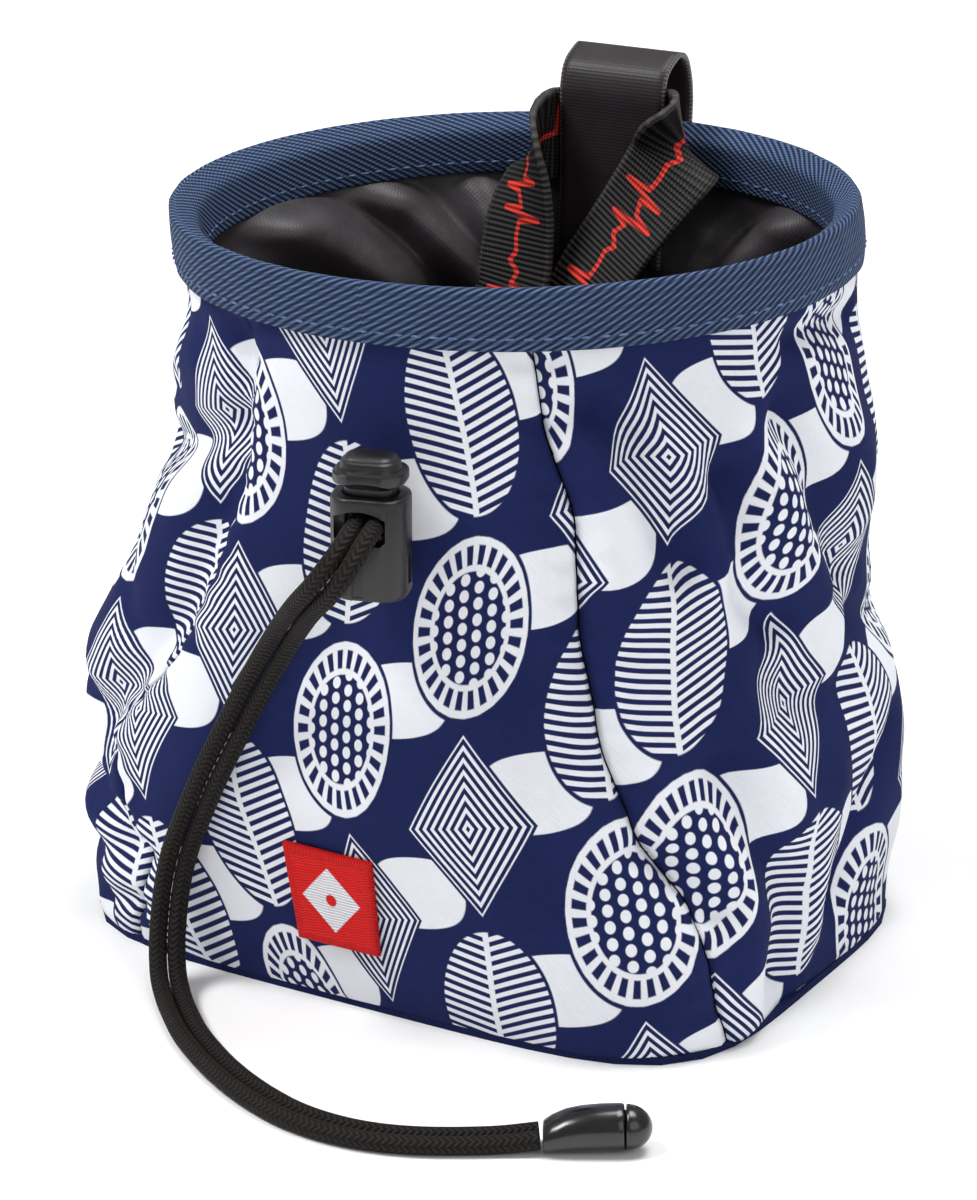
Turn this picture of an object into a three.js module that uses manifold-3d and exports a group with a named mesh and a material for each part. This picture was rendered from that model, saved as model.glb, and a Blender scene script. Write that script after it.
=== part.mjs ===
// Climbing chalk bag: a soft cloth bucket with a round stiffened rim, a belt loop at the back,
// a waist belt tucked inside, and a drawcord with a cord lock at the front.
// Millimetres, +Z up, floor at z = 0. The front panel faces -Y.
import * as THREE from 'three';
import { mergeVertices } from 'three/addons/utils/BufferGeometryUtils.js';
import Module from 'manifold-3d';

const wasm = await Module();
wasm.setup();

// Driving dimensions of the bag
const rimDiameter = 140;
const bagHeight = 154;
const bellyWidth = 164;
const bellyDepth = 140;
const baseWidth = 153;
const baseDepth = 112;
const rimTilt = 1.6;

// Cloth thicknesses and the gaps between sewn pieces
const panelWall = 1.4;
const liningWall = 1.2;
const baseWall = 1.6;
const bindingWall = 1.0;
const bindingDrop = 12;
const bindingSlope = 2.4;
const bindingCorner = 0.8;
const seamGap = 0.3;
const shellGap = 0.45;
const liningSlack = 5;

// Belt loop and belt
const loopWidth = 24;
const loopWall = 1.0;
const loopRise = 14.8;
const loopDrop = 30;
const loopOffset = -3;
const loopSlack = 1;
const beltWidth = 20;
const beltWall = 1.4;
const claspWidth = 24;
const claspHeight = 7;

// Cord lock
const lockWidth = 15;
const lockDepth = 12;
const lockHeight = 20.7;
const lockCorner = 4.5;
const lockTurn = 12;
const lockWall = 2.1;
const windowWidth = 10.4;
const windowHeight = 7;
const windowArch = 1.8;
const windowShift = -1;
const windowRise = 15;
const plungerTravel = 2;
const plungerHead = 5.4;
const plungerInset = 0.8;
const plungerClearance = 0.35;

// Drawcord and cord end
const cordDiameter = 3.6;
const cordSpacing = 4;
const cordEndLength = 15.5;
const cordEndWidth = 9.4;
const cordEndHeight = 9;
const cordCapLength = 5;

// Sewn patch
const patchSide = 21.5;
const patchWall = 1.2;
const patchAngle = 0.2;
const patchHeight = 25.2;

// Sections from the floor to the rim. Each outline is a blend of the rim circle, the belly oval
// and the base rectangle. rise is a share of bagHeight, square is the superellipse exponent,
// shifts are shares of rimDiameter and twist is in degrees.
const sections = [
  { rise: 0.00, rim: 0.00, belly: 0.00, base: 1.00, square: 4.75, shiftX: 0.002, shiftY: -0.072, twist: -5.0 },
  { rise: 0.06, rim: 0.00, belly: 0.22, base: 0.78, square: 4.08, shiftX: -0.002, shiftY: -0.068, twist: -5.0 },
  { rise: 0.13, rim: 0.00, belly: 0.45, base: 0.55, square: 4.00, shiftX: -0.007, shiftY: -0.051, twist: -4.9 },
  { rise: 0.21, rim: 0.00, belly: 0.75, base: 0.25, square: 3.25, shiftX: -0.013, shiftY: -0.030, twist: -4.8 },
  { rise: 0.29, rim: 0.00, belly: 1.00, base: 0.00, square: 2.80, shiftX: -0.017, shiftY: -0.019, twist: -4.7 },
  { rise: 0.36, rim: 0.07, belly: 0.93, base: 0.00, square: 2.55, shiftX: -0.021, shiftY: -0.017, twist: -3.9 },
  { rise: 0.44, rim: 0.38, belly: 0.62, base: 0.00, square: 2.43, shiftX: -0.015, shiftY: -0.018, twist: -3.0 },
  { rise: 0.52, rim: 0.62, belly: 0.38, base: 0.00, square: 2.33, shiftX: -0.003, shiftY: -0.017, twist: -2.1 },
  { rise: 0.61, rim: 0.67, belly: 0.33, base: 0.00, square: 2.20, shiftX: 0.009, shiftY: -0.014, twist: -1.1 },
  { rise: 0.70, rim: 0.77, belly: 0.23, base: 0.00, square: 2.13, shiftX: 0.023, shiftY: -0.009, twist: -0.1 },
  { rise: 0.79, rim: 0.98, belly: 0.02, base: 0.00, square: 2.09, shiftX: 0.022, shiftY: -0.005, twist: 0.0 },
  { rise: 0.86, rim: 1.10, belly: -0.10, base: 0.00, square: 2.06, shiftX: 0.016, shiftY: -0.003, twist: 0.0 },
  { rise: 0.92, rim: 1.04, belly: -0.04, base: 0.00, square: 2.03, shiftX: 0.011, shiftY: -0.001, twist: 0.0 },
  { rise: 1.00, rim: 1.00, belly: 0.00, base: 0.00, square: 2.00, shiftX: 0.000, shiftY: 0.000, twist: 0.0 },
];

// The two front seams, in degrees from the front (-Y) towards +X
const seams = [
  { rise: 0.00, left: -46, right: 65 },
  { rise: 0.10, left: -42, right: 61 },
  { rise: 0.20, left: -42, right: 57 },
  { rise: 0.31, left: -45, right: 49 },
  { rise: 0.44, left: -34, right: 43 },
  { rise: 0.58, left: -29, right: 37 },
  { rise: 0.70, left: -29, right: 33 },
  { rise: 0.82, left: -28, right: 28 },
  { rise: 1.00, left: -27, right: 26 },
];

// Folds of the outer cloth, each along a line from one angle and rise to another.
// width and depth are shares of rimDiameter, and a negative depth is a valley.
const outerFolds = [
  { name: 'left seam valley, upper', fromAngle: -32, fromRise: 0.90, toAngle: -33, toRise: 0.50, width: 0.050, depth: -0.030 },
  { name: 'left seam valley, lower', fromAngle: -35, fromRise: 0.48, toAngle: -50, toRise: 0.30, width: 0.055, depth: -0.028 },
  { name: 'left side bulge', fromAngle: -44, fromRise: 0.62, toAngle: -62, toRise: 0.38, width: 0.090, depth: 0.022 },
  { name: 'left side pinch', fromAngle: -76, fromRise: 0.24, toAngle: -50, toRise: 0.19, width: 0.045, depth: -0.024 },
  { name: 'left upper crease', fromAngle: -66, fromRise: 0.68, toAngle: -36, toRise: 0.76, width: 0.050, depth: -0.018 },
  { name: 'right S fold, upper', fromAngle: 38, fromRise: 0.81, toAngle: 50, toRise: 0.72, width: 0.050, depth: -0.024 },
  { name: 'right S fold, lower', fromAngle: 52, fromRise: 0.70, toAngle: 70, toRise: 0.55, width: 0.050, depth: -0.026 },
  { name: 'right S ridge', fromAngle: 58, fromRise: 0.82, toAngle: 76, toRise: 0.60, width: 0.060, depth: 0.018 },
  { name: 'right side valley', fromAngle: 78, fromRise: 0.78, toAngle: 95, toRise: 0.50, width: 0.055, depth: -0.024 },
  { name: 'right seam valley', fromAngle: 38, fromRise: 0.55, toAngle: 50, toRise: 0.28, width: 0.045, depth: -0.012 },
  { name: 'lower right fold', fromAngle: 62, fromRise: 0.34, toAngle: 77, toRise: 0.06, width: 0.055, depth: -0.022 },
  { name: 'lower right notch', fromAngle: 106, fromRise: 0.27, toAngle: 92, toRise: 0.10, width: 0.055, depth: -0.026 },
  { name: 'right rim crease', fromAngle: 104, fromRise: 0.87, toAngle: 76, toRise: 0.89, width: 0.040, depth: -0.016 },
  { name: 'back fold, right', fromAngle: 148, fromRise: 0.74, toAngle: 162, toRise: 0.22, width: 0.075, depth: -0.022 },
  { name: 'back ridge', fromAngle: 178, fromRise: 0.66, toAngle: 186, toRise: 0.26, width: 0.085, depth: 0.016 },
  { name: 'back fold, left', fromAngle: 238, fromRise: 0.76, toAngle: 222, toRise: 0.24, width: 0.070, depth: -0.024 },
];

// Folds of the loose lining. A negative depth stands inwards, into the bag.
const liningFolds = [
  { name: 'large left fold', fromAngle: 257, fromRise: 0.90, toAngle: 231, toRise: 0.77, width: 0.070, depth: -0.058 },
  { name: 'back left fold', fromAngle: 234, fromRise: 0.91, toAngle: 212, toRise: 0.78, width: 0.045, depth: -0.030 },
  { name: 'back right fold', fromAngle: 140, fromRise: 0.90, toAngle: 164, toRise: 0.76, width: 0.055, depth: -0.040 },
  { name: 'right fold', fromAngle: 92, fromRise: 0.84, toAngle: 100, toRise: 0.44, width: 0.070, depth: -0.032 },
  { name: 'front left fold', fromAngle: 300, fromRise: 0.82, toAngle: 312, toRise: 0.50, width: 0.070, depth: -0.030 },
];

// Belt loop seen from the side, from its sewn end in the bag to its sewn end outside.
// across runs from the inner leg (0) to the outer leg (1), drop hangs below the rim as a share of
// loopDrop, and lift stands above it as a share of loopRise.
const loopPath = [
  { across: -0.10, drop: 1.00, lift: 0 },
  { across: -0.08, drop: 0.84, lift: 0 },
  { across: -0.04, drop: 0.66, lift: 0 },
  { across: 0.00, drop: 0.46, lift: 0 },
  { across: 0.00, drop: 0.22, lift: 0 },
  { across: 0.00, drop: 0.00, lift: 0.08 },
  { across: 0.00, drop: 0.00, lift: 0.55 },
  { across: 0.12, drop: 0.00, lift: 0.82 },
  { across: 0.40, drop: 0.00, lift: 0.96 },
  { across: 0.60, drop: 0.00, lift: 1.00 },
  { across: 0.80, drop: 0.00, lift: 0.90 },
  { across: 0.96, drop: 0.00, lift: 0.60 },
  { across: 1.02, drop: 0.00, lift: 0.25 },
  { across: 1.00, drop: 0.05, lift: 0 },
  { across: 1.00, drop: 0.40, lift: 0 },
  { across: 1.00, drop: 0.50, lift: 0 },
  { across: 0.93, drop: 0.75, lift: 0 },
  { across: 0.92, drop: 1.00, lift: 0 },
];

// Belt from the left end of its hidden clasp, up through the loop and back down.
// side is measured from the loop's middle in belt widths, front from the stretch behind the
// loop's leg towards -Y as a share of rimDiameter, rise is a share of the height from the clasp's
// middle to the rim, and edge is the direction of the webbing's upper edge.
const beltPath = [
  { side: -1.090, front: 0.243, rise: 0.000, edge: [0.00, -1.00, 0.00] },
  { side: -1.390, front: 0.243, rise: -0.003, edge: [0.00, -1.00, 0.00] },
  { side: -1.660, front: 0.240, rise: 0.011, edge: [0.05, -1.00, 0.00] },
  { side: -1.790, front: 0.232, rise: 0.068, edge: [0.10, -1.00, 0.00] },
  { side: -1.690, front: 0.205, rise: 0.214, edge: [0.30, -0.95, 0.00] },
  { side: -1.390, front: 0.165, rise: 0.422, edge: [0.60, -0.80, 0.00] },
  { side: -1.110, front: 0.135, rise: 0.599, edge: [0.85, -0.50, 0.05] },
  { side: -0.930, front: 0.117, rise: 0.714, edge: [0.93, -0.33, 0.12] },
  { side: -0.860, front: 0.103, rise: 0.782, edge: [0.95, -0.28, 0.14] },
  { side: -0.840, front: 0.088, rise: 0.850, edge: [0.90, -0.30, 0.30] },
  { side: -0.820, front: 0.074, rise: 0.908, edge: [0.74, -0.38, 0.52] },
  { side: -0.800, front: 0.056, rise: 0.954, edge: [0.45, -0.36, 0.80] },
  { side: -0.770, front: 0.034, rise: 0.976, edge: [0.15, -0.20, 0.96] },
  { side: -0.715, front: 0.011, rise: 0.977, edge: [0.02, -0.02, 1.00] },
  { side: -0.620, front: 0.000, rise: 0.977, edge: [0.00, 0.00, 1.00] },
  { side: -0.480, front: 0.000, rise: 0.978, edge: [0.00, 0.00, 1.00] },
  { side: 0.000, front: 0.000, rise: 0.982, edge: [0.00, 0.00, 1.00] },
  { side: 0.480, front: 0.000, rise: 0.990, edge: [0.00, 0.00, 1.00] },
  { side: 0.620, front: 0.000, rise: 0.992, edge: [0.00, 0.00, 1.00] },
  { side: 0.735, front: 0.011, rise: 0.995, edge: [-0.08, 0.00, 1.00] },
  { side: 0.870, front: 0.031, rise: 0.993, edge: [-0.28, -0.02, 0.95] },
  { side: 0.845, front: 0.053, rise: 0.973, edge: [-0.58, 0.14, 0.80] },
  { side: 0.670, front: 0.067, rise: 0.933, edge: [-0.76, 0.30, 0.56] },
  { side: 0.440, front: 0.081, rise: 0.883, edge: [-0.85, 0.40, 0.34] },
  { side: 0.220, front: 0.095, rise: 0.834, edge: [-0.88, 0.42, 0.22] },
  { side: 0.020, front: 0.110, rise: 0.780, edge: [-0.90, 0.40, 0.16] },
  { side: -0.100, front: 0.123, rise: 0.707, edge: [-0.95, 0.25, 0.10] },
  { side: -0.060, front: 0.138, rise: 0.605, edge: [-0.98, 0.00, 0.00] },
  { side: 0.220, front: 0.164, rise: 0.422, edge: [-0.80, -0.60, 0.00] },
  { side: 0.670, front: 0.203, rise: 0.214, edge: [-0.45, -0.90, 0.00] },
  { side: 0.890, front: 0.230, rise: 0.068, edge: [-0.10, -1.00, 0.00] },
  { side: 0.800, front: 0.240, rise: 0.011, edge: [-0.05, -1.00, 0.00] },
  { side: 0.560, front: 0.243, rise: -0.003, edge: [0.00, -1.00, 0.00] },
  { side: 0.270, front: 0.243, rise: 0.000, edge: [0.00, -1.00, 0.00] },
];

// Middle line between the two cord strands: from the wall through the lock, down against the
// belly and along the floor to the cord end. front is measured forwards from the rim circle, and
// side is the heading, in degrees from +X, of the offset from one strand to the other.
const cordRoute = [
  { x: 5.6, front: 2.6, z: 111.0, side: 192 },
  { x: 7.0, front: 9.0, z: 111.0, side: 192 },
  { x: 8.3, front: 15.2, z: 111.0, side: 192 },
  { x: 8.9, front: 20.4, z: 109.9, side: 190 },
  { x: 7.6, front: 23.8, z: 106.4, side: 188 },
  { x: 3.9, front: 24.0, z: 101.2, side: 186 },
  { x: -1.7, front: 20.3, z: 95.4, side: 184 },
  { x: -9.2, front: 12.6, z: 87.2, side: 184 },
  { x: -15.2, front: 8.0, z: 79.3, side: 184 },
  { x: -20.5, front: 5.2, z: 71.3, side: 184 },
  { x: -24.9, front: 3.7, z: 63.6, side: 186 },
  { x: -29.2, front: 2.9, z: 55.6, side: 186 },
  { x: -33.4, front: 2.3, z: 47.4, side: 188 },
  { x: -37.6, front: 1.0, z: 38.7, side: 190 },
  { x: -41.9, front: -0.6, z: 29.2, side: 194 },
  { x: -43.9, front: -0.8, z: 22.0, side: 198 },
  { x: -44.4, front: 0.6, z: 14.5, side: 202 },
  { x: -43.3, front: 3.6, z: 8.5, side: 206 },
  { x: -41.0, front: 7.4, z: 4.2, side: 210 },
  { x: -37.2, front: 12.2, z: 2.2, side: 216 },
  { x: -32.0, front: 18.5, z: 1.9, side: 219 },
  { x: -26.6, front: 24.5, z: 1.9, side: 222 },
  { x: -20.9, front: 29.7, z: 1.9, side: 228 },
  { x: -14.7, front: 34.7, z: 1.9, side: 232 },
  { x: -7.5, front: 39.6, z: 1.9, side: 237 },
  { x: 0.2, front: 43.8, z: 1.9, side: 243 },
  { x: 8.2, front: 47.0, z: 1.9, side: 253 },
  { x: 16.4, front: 48.5, z: 1.9, side: 265 },
  { x: 24.5, front: 48.4, z: 1.9, side: 276 },
  { x: 32.6, front: 46.6, z: 1.9, side: 287 },
  { x: 40.6, front: 43.3, z: 1.9, side: 294 },
  { x: 48.6, front: 39.3, z: 2.1, side: 297 },
  { x: 55.2, front: 36.0, z: 2.9, side: 296 },
];

// Cord end from its mouth to its cap: along, wide and high are shares of its length, width and height
const cordEndRows = [
  { along: 0.00, wide: 0.90, high: 0.60 },
  { along: 0.12, wide: 0.95, high: 0.72 },
  { along: 0.40, wide: 1.00, high: 0.90 },
  { along: 0.80, wide: 1.00, high: 1.00 },
  { along: 1.00, wide: 0.98, high: 1.00 },
];

// Derived sizes
const rimRadius = rimDiameter / 2;
const clothRadius = rimRadius - bindingWall - shellGap;
const footRise = (baseWall + shellGap) / bagHeight;
const clothTopRise = (bagHeight - bindingSlope - bindingWall - shellGap) / bagHeight;
const liningFloor = baseWall + shellGap;
const claspMiddle = liningFloor + liningWall + seamGap + claspHeight / 2;
const bindingRise = (bagHeight - bindingDrop - seamGap) / bagHeight;
const foldFadeRise = bindingRise - 0.08;
const sandwich = panelWall + shellGap + liningWall;
const bindingInset = bindingWall + shellGap;

const degrees = THREE.MathUtils.degToRad;
const lerp = THREE.MathUtils.lerp;
const smoothstep = THREE.MathUtils.smoothstep;

// Value of one column of a table at a given rise
function column(rows, key, rise) {
  const next = rows.findIndex((row) => row.rise >= rise);
  if (next <= 0) return rows[next < 0 ? rows.length - 1 : 0][key];
  const low = rows[next - 1];
  const high = rows[next];
  return lerp(low[key], high[key], (rise - low.rise) / (high.rise - low.rise));
}

// Sum of the folds at one place on the cloth, from the distance to each fold's line
function foldDepth(folds, angle, rise) {
  const turned = ((angle % 360) + 360) % 360;
  let depth = 0;
  for (const fold of folds) {
    const from = new THREE.Vector2(degrees(fold.fromAngle) * rimRadius, fold.fromRise * bagHeight);
    const to = new THREE.Vector2(degrees(fold.toAngle) * rimRadius, fold.toRise * bagHeight);
    const line = to.clone().sub(from);
    for (const turn of [-360, 0]) {
      const here = new THREE.Vector2(degrees(turned + turn) * rimRadius, rise * bagHeight);
      const share = THREE.MathUtils.clamp(here.clone().sub(from).dot(line) / line.lengthSq(), 0, 1);
      const away = here.distanceTo(from.clone().addScaledVector(line, share));
      depth += fold.depth * rimDiameter * Math.exp(-((away / (fold.width * rimDiameter)) ** 2));
    }
  }
  return depth * (1 - smoothstep(rise, foldFadeRise, bindingRise));
}

// A point of the bag's wall: angle in degrees from the front, rise as a share of the height,
// inset inwards from the outer cloth's face
function wallPoint(angle, rise, inset = 0, folds = outerFolds) {
  const at = (key) => column(sections, key, rise);
  const halfWidth = at('rim') * clothRadius + (at('belly') * bellyWidth + at('base') * baseWidth) / 2;
  const halfDepth = at('rim') * clothRadius + (at('belly') * bellyDepth + at('base') * baseDepth) / 2;
  const turn = degrees(angle);
  const outline = (Math.abs(Math.sin(turn)) / halfWidth) ** at('square')
    + (Math.abs(Math.cos(turn)) / halfDepth) ** at('square');
  const radius = outline ** (-1 / at('square')) + foldDepth(folds, angle, rise) - inset;
  const point = new THREE.Vector3(radius * Math.sin(turn), -radius * Math.cos(turn), 0);
  point.applyAxisAngle(new THREE.Vector3(0, 0, 1), degrees(at('twist')));
  const lift = rimTilt * Math.cos(turn - degrees(60)) * smoothstep(rise, 0.5, 1);
  return point.add(new THREE.Vector3(
    at('shiftX') * rimDiameter, at('shiftY') * rimDiameter, rise * bagHeight + lift));
}

// Moves every vertex of a closed geometry to a new place
function bend(geometry, place) {
  const position = geometry.attributes.position;
  for (let i = 0; i < position.count; i += 1) {
    const moved = place(new THREE.Vector3().fromBufferAttribute(position, i), i);
    position.setXYZ(i, moved.x, moved.y, moved.z);
  }
  geometry.computeVertexNormals();
  return geometry;
}

// A cloth panel between two lines of angle, from rise to rise
function clothPanel(startAngle, endAngle, columns, rows) {
  const sheet = new THREE.BoxGeometry(1, 1, 1, columns, rows, 1);
  return bend(sheet, (corner) => {
    const row = Math.round((corner.y + 0.5) * rows);
    const rise = row === rows ? clothTopRise : lerp(footRise, bindingRise, row / (rows - 1));
    const angle = lerp(startAngle(rise), endAngle(rise), corner.x + 0.5);
    return wallPoint(angle, rise, corner.z > 0 ? 0 : panelWall);
  });
}

// A ring or cup that goes all the way round: one row of the profile after another, each placed by
// its own function of the angle. A cup's profile starts and ends on the axis.
function roundShell(profile, segments) {
  const dummy = profile.map((row, i) => new THREE.Vector2(row.onAxis ? 0 : 1, i));
  const lathe = new THREE.LatheGeometry(dummy, segments);
  return bend(lathe, (corner, i) => {
    const angle = (Math.floor(i / profile.length) % segments) * 360 / segments;
    return profile[i % profile.length].place(angle);
  });
}

// A flat strap along a list of places, each with the direction of its upper edge
function strap(places, width, wall, steps) {
  const middle = new THREE.CatmullRomCurve3(places.map((place) => place.at), false, 'centripetal');
  const edges = new THREE.CatmullRomCurve3(places.map((place) => place.edge), false, 'catmullrom');
  const sheet = new THREE.BoxGeometry(1, 1, 1, 1, steps, 1);
  return bend(sheet, (corner) => {
    const share = corner.y + 0.5;
    const along = middle.getTangent(share);
    const edge = edges.getPoint(share).addScaledVector(along, -edges.getPoint(share).dot(along)).normalize();
    const face = new THREE.Vector3().crossVectors(edge, along).normalize();
    return middle.getPoint(share)
      .addScaledVector(edge, corner.x * width)
      .addScaledVector(face, corner.z * wall);
  });
}

function roundedRectangle(width, height, corner) {
  const x = width / 2 - corner;
  const y = height / 2 - corner;
  const shape = new THREE.Shape();
  shape.absarc(x, -y, corner, -Math.PI / 2, 0);
  shape.absarc(x, y, corner, 0, Math.PI / 2);
  shape.absarc(-x, y, corner, Math.PI / 2, Math.PI);
  shape.absarc(-x, -y, corner, Math.PI, Math.PI * 1.5);
  shape.closePath();
  return shape;
}

// An upright block of a given section between two heights, with a small bevel on its ends
function block(shape, low, high, bevel = 0, curveSegments = 3) {
  const geometry = new THREE.ExtrudeGeometry(shape, {
    depth: high - low - 2 * bevel,
    bevelEnabled: bevel > 0,
    bevelThickness: bevel,
    bevelSize: bevel,
    bevelOffset: -bevel,
    bevelSegments: 1,
    curveSegments,
  });
  return geometry.translate(0, 0, low + bevel);
}

function toSolid(geometry) {
  const plain = geometry.clone();
  plain.deleteAttribute('normal');
  plain.deleteAttribute('uv');
  const merged = mergeVertices(plain, 1e-4);
  return new wasm.Manifold(new wasm.Mesh({
    numProp: 3,
    vertProperties: new Float32Array(merged.attributes.position.array),
    triVerts: new Uint32Array(merged.index.array),
  }));
}

function toGeometry(solid) {
  const mesh = solid.getMesh();
  const geometry = new THREE.BufferGeometry();
  geometry.setAttribute('position', new THREE.BufferAttribute(mesh.vertProperties, 3));
  geometry.setIndex(new THREE.BufferAttribute(mesh.triVerts, 1));
  geometry.computeVertexNormals();
  return geometry;
}

const group = new THREE.Group();

function addPiece(parent, name, geometry, color, roughness, metalness = 0) {
  const material = new THREE.MeshStandardMaterial({ color, roughness, metalness });
  const mesh = new THREE.Mesh(geometry, material);
  mesh.name = name;
  parent.add(mesh);
  return mesh;
}

const cordPoint = (row) => new THREE.Vector3(row.x, -rimRadius - row.front, row.z);
const leftSeam = (rise) => column(seams, 'left', rise);
const rightSeam = (rise) => column(seams, 'right', rise);
const seamHalfAngle = THREE.MathUtils.radToDeg(seamGap / clothRadius);

// Outer cloth: the front panel between the two seams and the wrap round the sides and the back
function addOuterCloth() {
  const front = clothPanel((rise) => leftSeam(rise) + seamHalfAngle,
    (rise) => rightSeam(rise) - seamHalfAngle, 11, 19);
  const wrap = clothPanel((rise) => rightSeam(rise) + seamHalfAngle,
    (rise) => leftSeam(rise) + 360 - seamHalfAngle, 36, 19);
  addPiece(group, 'front_panel', front, 0x27316e, 0.8);
  addPiece(group, 'wrap_panel', wrap, 0x27316e, 0.8);
}

// Flat bottom, flush with the lower edge of the outer cloth
function addBase() {
  const outline = [];
  const corners = 60;
  for (let i = 0; i < corners; i += 1) {
    const point = wallPoint(i * 360 / corners, 0, 0, []);
    outline.push(new THREE.Vector2(point.x, point.y));
  }
  const plate = new THREE.ExtrudeGeometry(new THREE.Shape(outline), { depth: baseWall, bevelEnabled: false });
  addPiece(group, 'base_panel', plate, 0x1b2352, 0.85);
}

// The lining hangs from the rim and is loose below it
function liningInset(rise) {
  const slack = liningSlack * (1 - smoothstep(rise, 0.78, bindingRise));
  return panelWall + shellGap + slack;
}

function addLining() {
  const rises = [0.03, 0.09, 0.20, 0.32, 0.44, 0.55, 0.65, 0.74, 0.83, bindingRise, clothTopRise];
  const folds = (rise) => (rise > 0.05 ? [...outerFolds, ...liningFolds] : []);
  const wall = (rise, inset) => ({
    place: (angle) => wallPoint(angle, rise, liningInset(rise) + inset, folds(rise)),
  });
  const floor = (share, height, inset) => ({
    onAxis: share === 0,
    place: (angle) => {
      const edge = wallPoint(angle, rises[0], liningInset(rises[0]) + inset, []);
      const middle = wallPoint(0, 0, 0, []).add(wallPoint(180, 0, 0, [])).multiplyScalar(0.5);
      return new THREE.Vector3(lerp(middle.x, edge.x, share), lerp(middle.y, edge.y, share), height);
    },
  });
  const profile = [
    floor(0, liningFloor, 0),
    floor(0.94, liningFloor, 0),
    ...rises.map((rise) => wall(rise, 0)),
    ...rises.toReversed().map((rise) => wall(rise, liningWall)),
    floor(0.94, liningFloor + liningWall, liningWall),
    floor(0, liningFloor + liningWall, liningWall),
  ];
  addPiece(group, 'lining', roundShell(profile, 44), 0x3a3638, 0.6);
}

// Folded tape round the rim: an upside-down U over the edges of the cloth and the lining, with its
// crest at the outside and a slope down to the inner side
function addBinding() {
  const rim = (inset, height) => ({
    place: (angle) => wallPoint(angle, height / bagHeight, inset - bindingInset, []),
  });
  const across = sandwich + 2 * bindingInset;
  const low = bagHeight - bindingDrop;
  const innerTop = bagHeight - bindingSlope;
  const profile = [
    rim(0, low),
    rim(0, bagHeight - bindingCorner),
    rim(bindingCorner, bagHeight),
    rim(bindingCorner * 2, bagHeight),
    rim(across - bindingCorner, innerTop),
    rim(across, innerTop - bindingCorner),
    rim(across, low),
    rim(across - bindingWall, low),
    rim(across - bindingWall, innerTop - bindingWall),
    rim(bindingWall, innerTop - bindingWall),
    rim(bindingWall, low),
    rim(0, low),
  ];
  addPiece(group, 'rim_binding', roundShell(profile, 56), 0x2b3f63, 0.75);
}

// Places at the back of the rim that the loop and the belt take theirs from
const bindingOuterBack = wallPoint(180, 1, -bindingInset, []).y;
const bindingInnerBack = wallPoint(180, 1, sandwich + bindingInset, []).y;
const halfLoop = loopWidth / 2 + Math.abs(loopOffset) + beltWall * 3;
const innerSag = bindingInnerBack - Math.sqrt(bindingInnerBack ** 2 - halfLoop ** 2);
const beltBehind = bindingInnerBack - innerSag - loopSlack - seamGap - beltWall * 1.6;
const loopInner = beltBehind - beltWall / 2 - seamGap * 1.5 - loopWall / 2;
const loopOuter = bindingOuterBack + seamGap + loopWall / 2;

function addLoop() {
  const places = loopPath.map((row) => ({
    at: new THREE.Vector3(
      loopOffset,
      lerp(loopInner, loopOuter, row.across),
      bagHeight - row.drop * loopDrop + row.lift * loopRise),
    edge: new THREE.Vector3(1, 0, 0),
  }));
  addPiece(group, 'belt_loop', strap(places, loopWidth, loopWall, 30), 0x1f1d1f, 0.45);
}

function addBelt() {
  const places = beltPath.map((row) => ({
    at: new THREE.Vector3(
      loopOffset + row.side * beltWidth,
      beltBehind - row.front * rimDiameter,
      lerp(claspMiddle, bagHeight, row.rise)),
    edge: new THREE.Vector3(...row.edge),
  }));
  addPiece(group, 'belt_webbing', strap(places, beltWidth, beltWall, 76), 0x2a2828, 0.7);
  const first = places[0].at;
  const last = places[places.length - 1].at;
  const length = last.x - first.x - 2 * seamGap;
  const body = block(roundedRectangle(length, claspWidth, 3), -claspHeight / 2, claspHeight / 2, 1);
  const clasp = addPiece(group, 'belt_clasp', body, 0x1a1a1a, 0.4);
  clasp.position.copy(first).add(last).multiplyScalar(0.5);
}

// Square patch sewn on the front panel, bent with it
function addPatch() {
  const sheet = new THREE.BoxGeometry(1, 1, 1, 4, 4, 1);
  const halfAngle = THREE.MathUtils.radToDeg(patchSide / 2 / rimRadius);
  const patch = bend(sheet, (corner) => {
    const rise = (patchHeight + corner.y * patchSide) / bagHeight;
    const angle = patchAngle + corner.x * 2 * halfAngle;
    return wallPoint(angle, rise, -shellGap - (corner.z > 0 ? patchWall : 0));
  });
  addPiece(group, 'logo_patch', patch, 0xd81a1a, 0.7);
}

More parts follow.
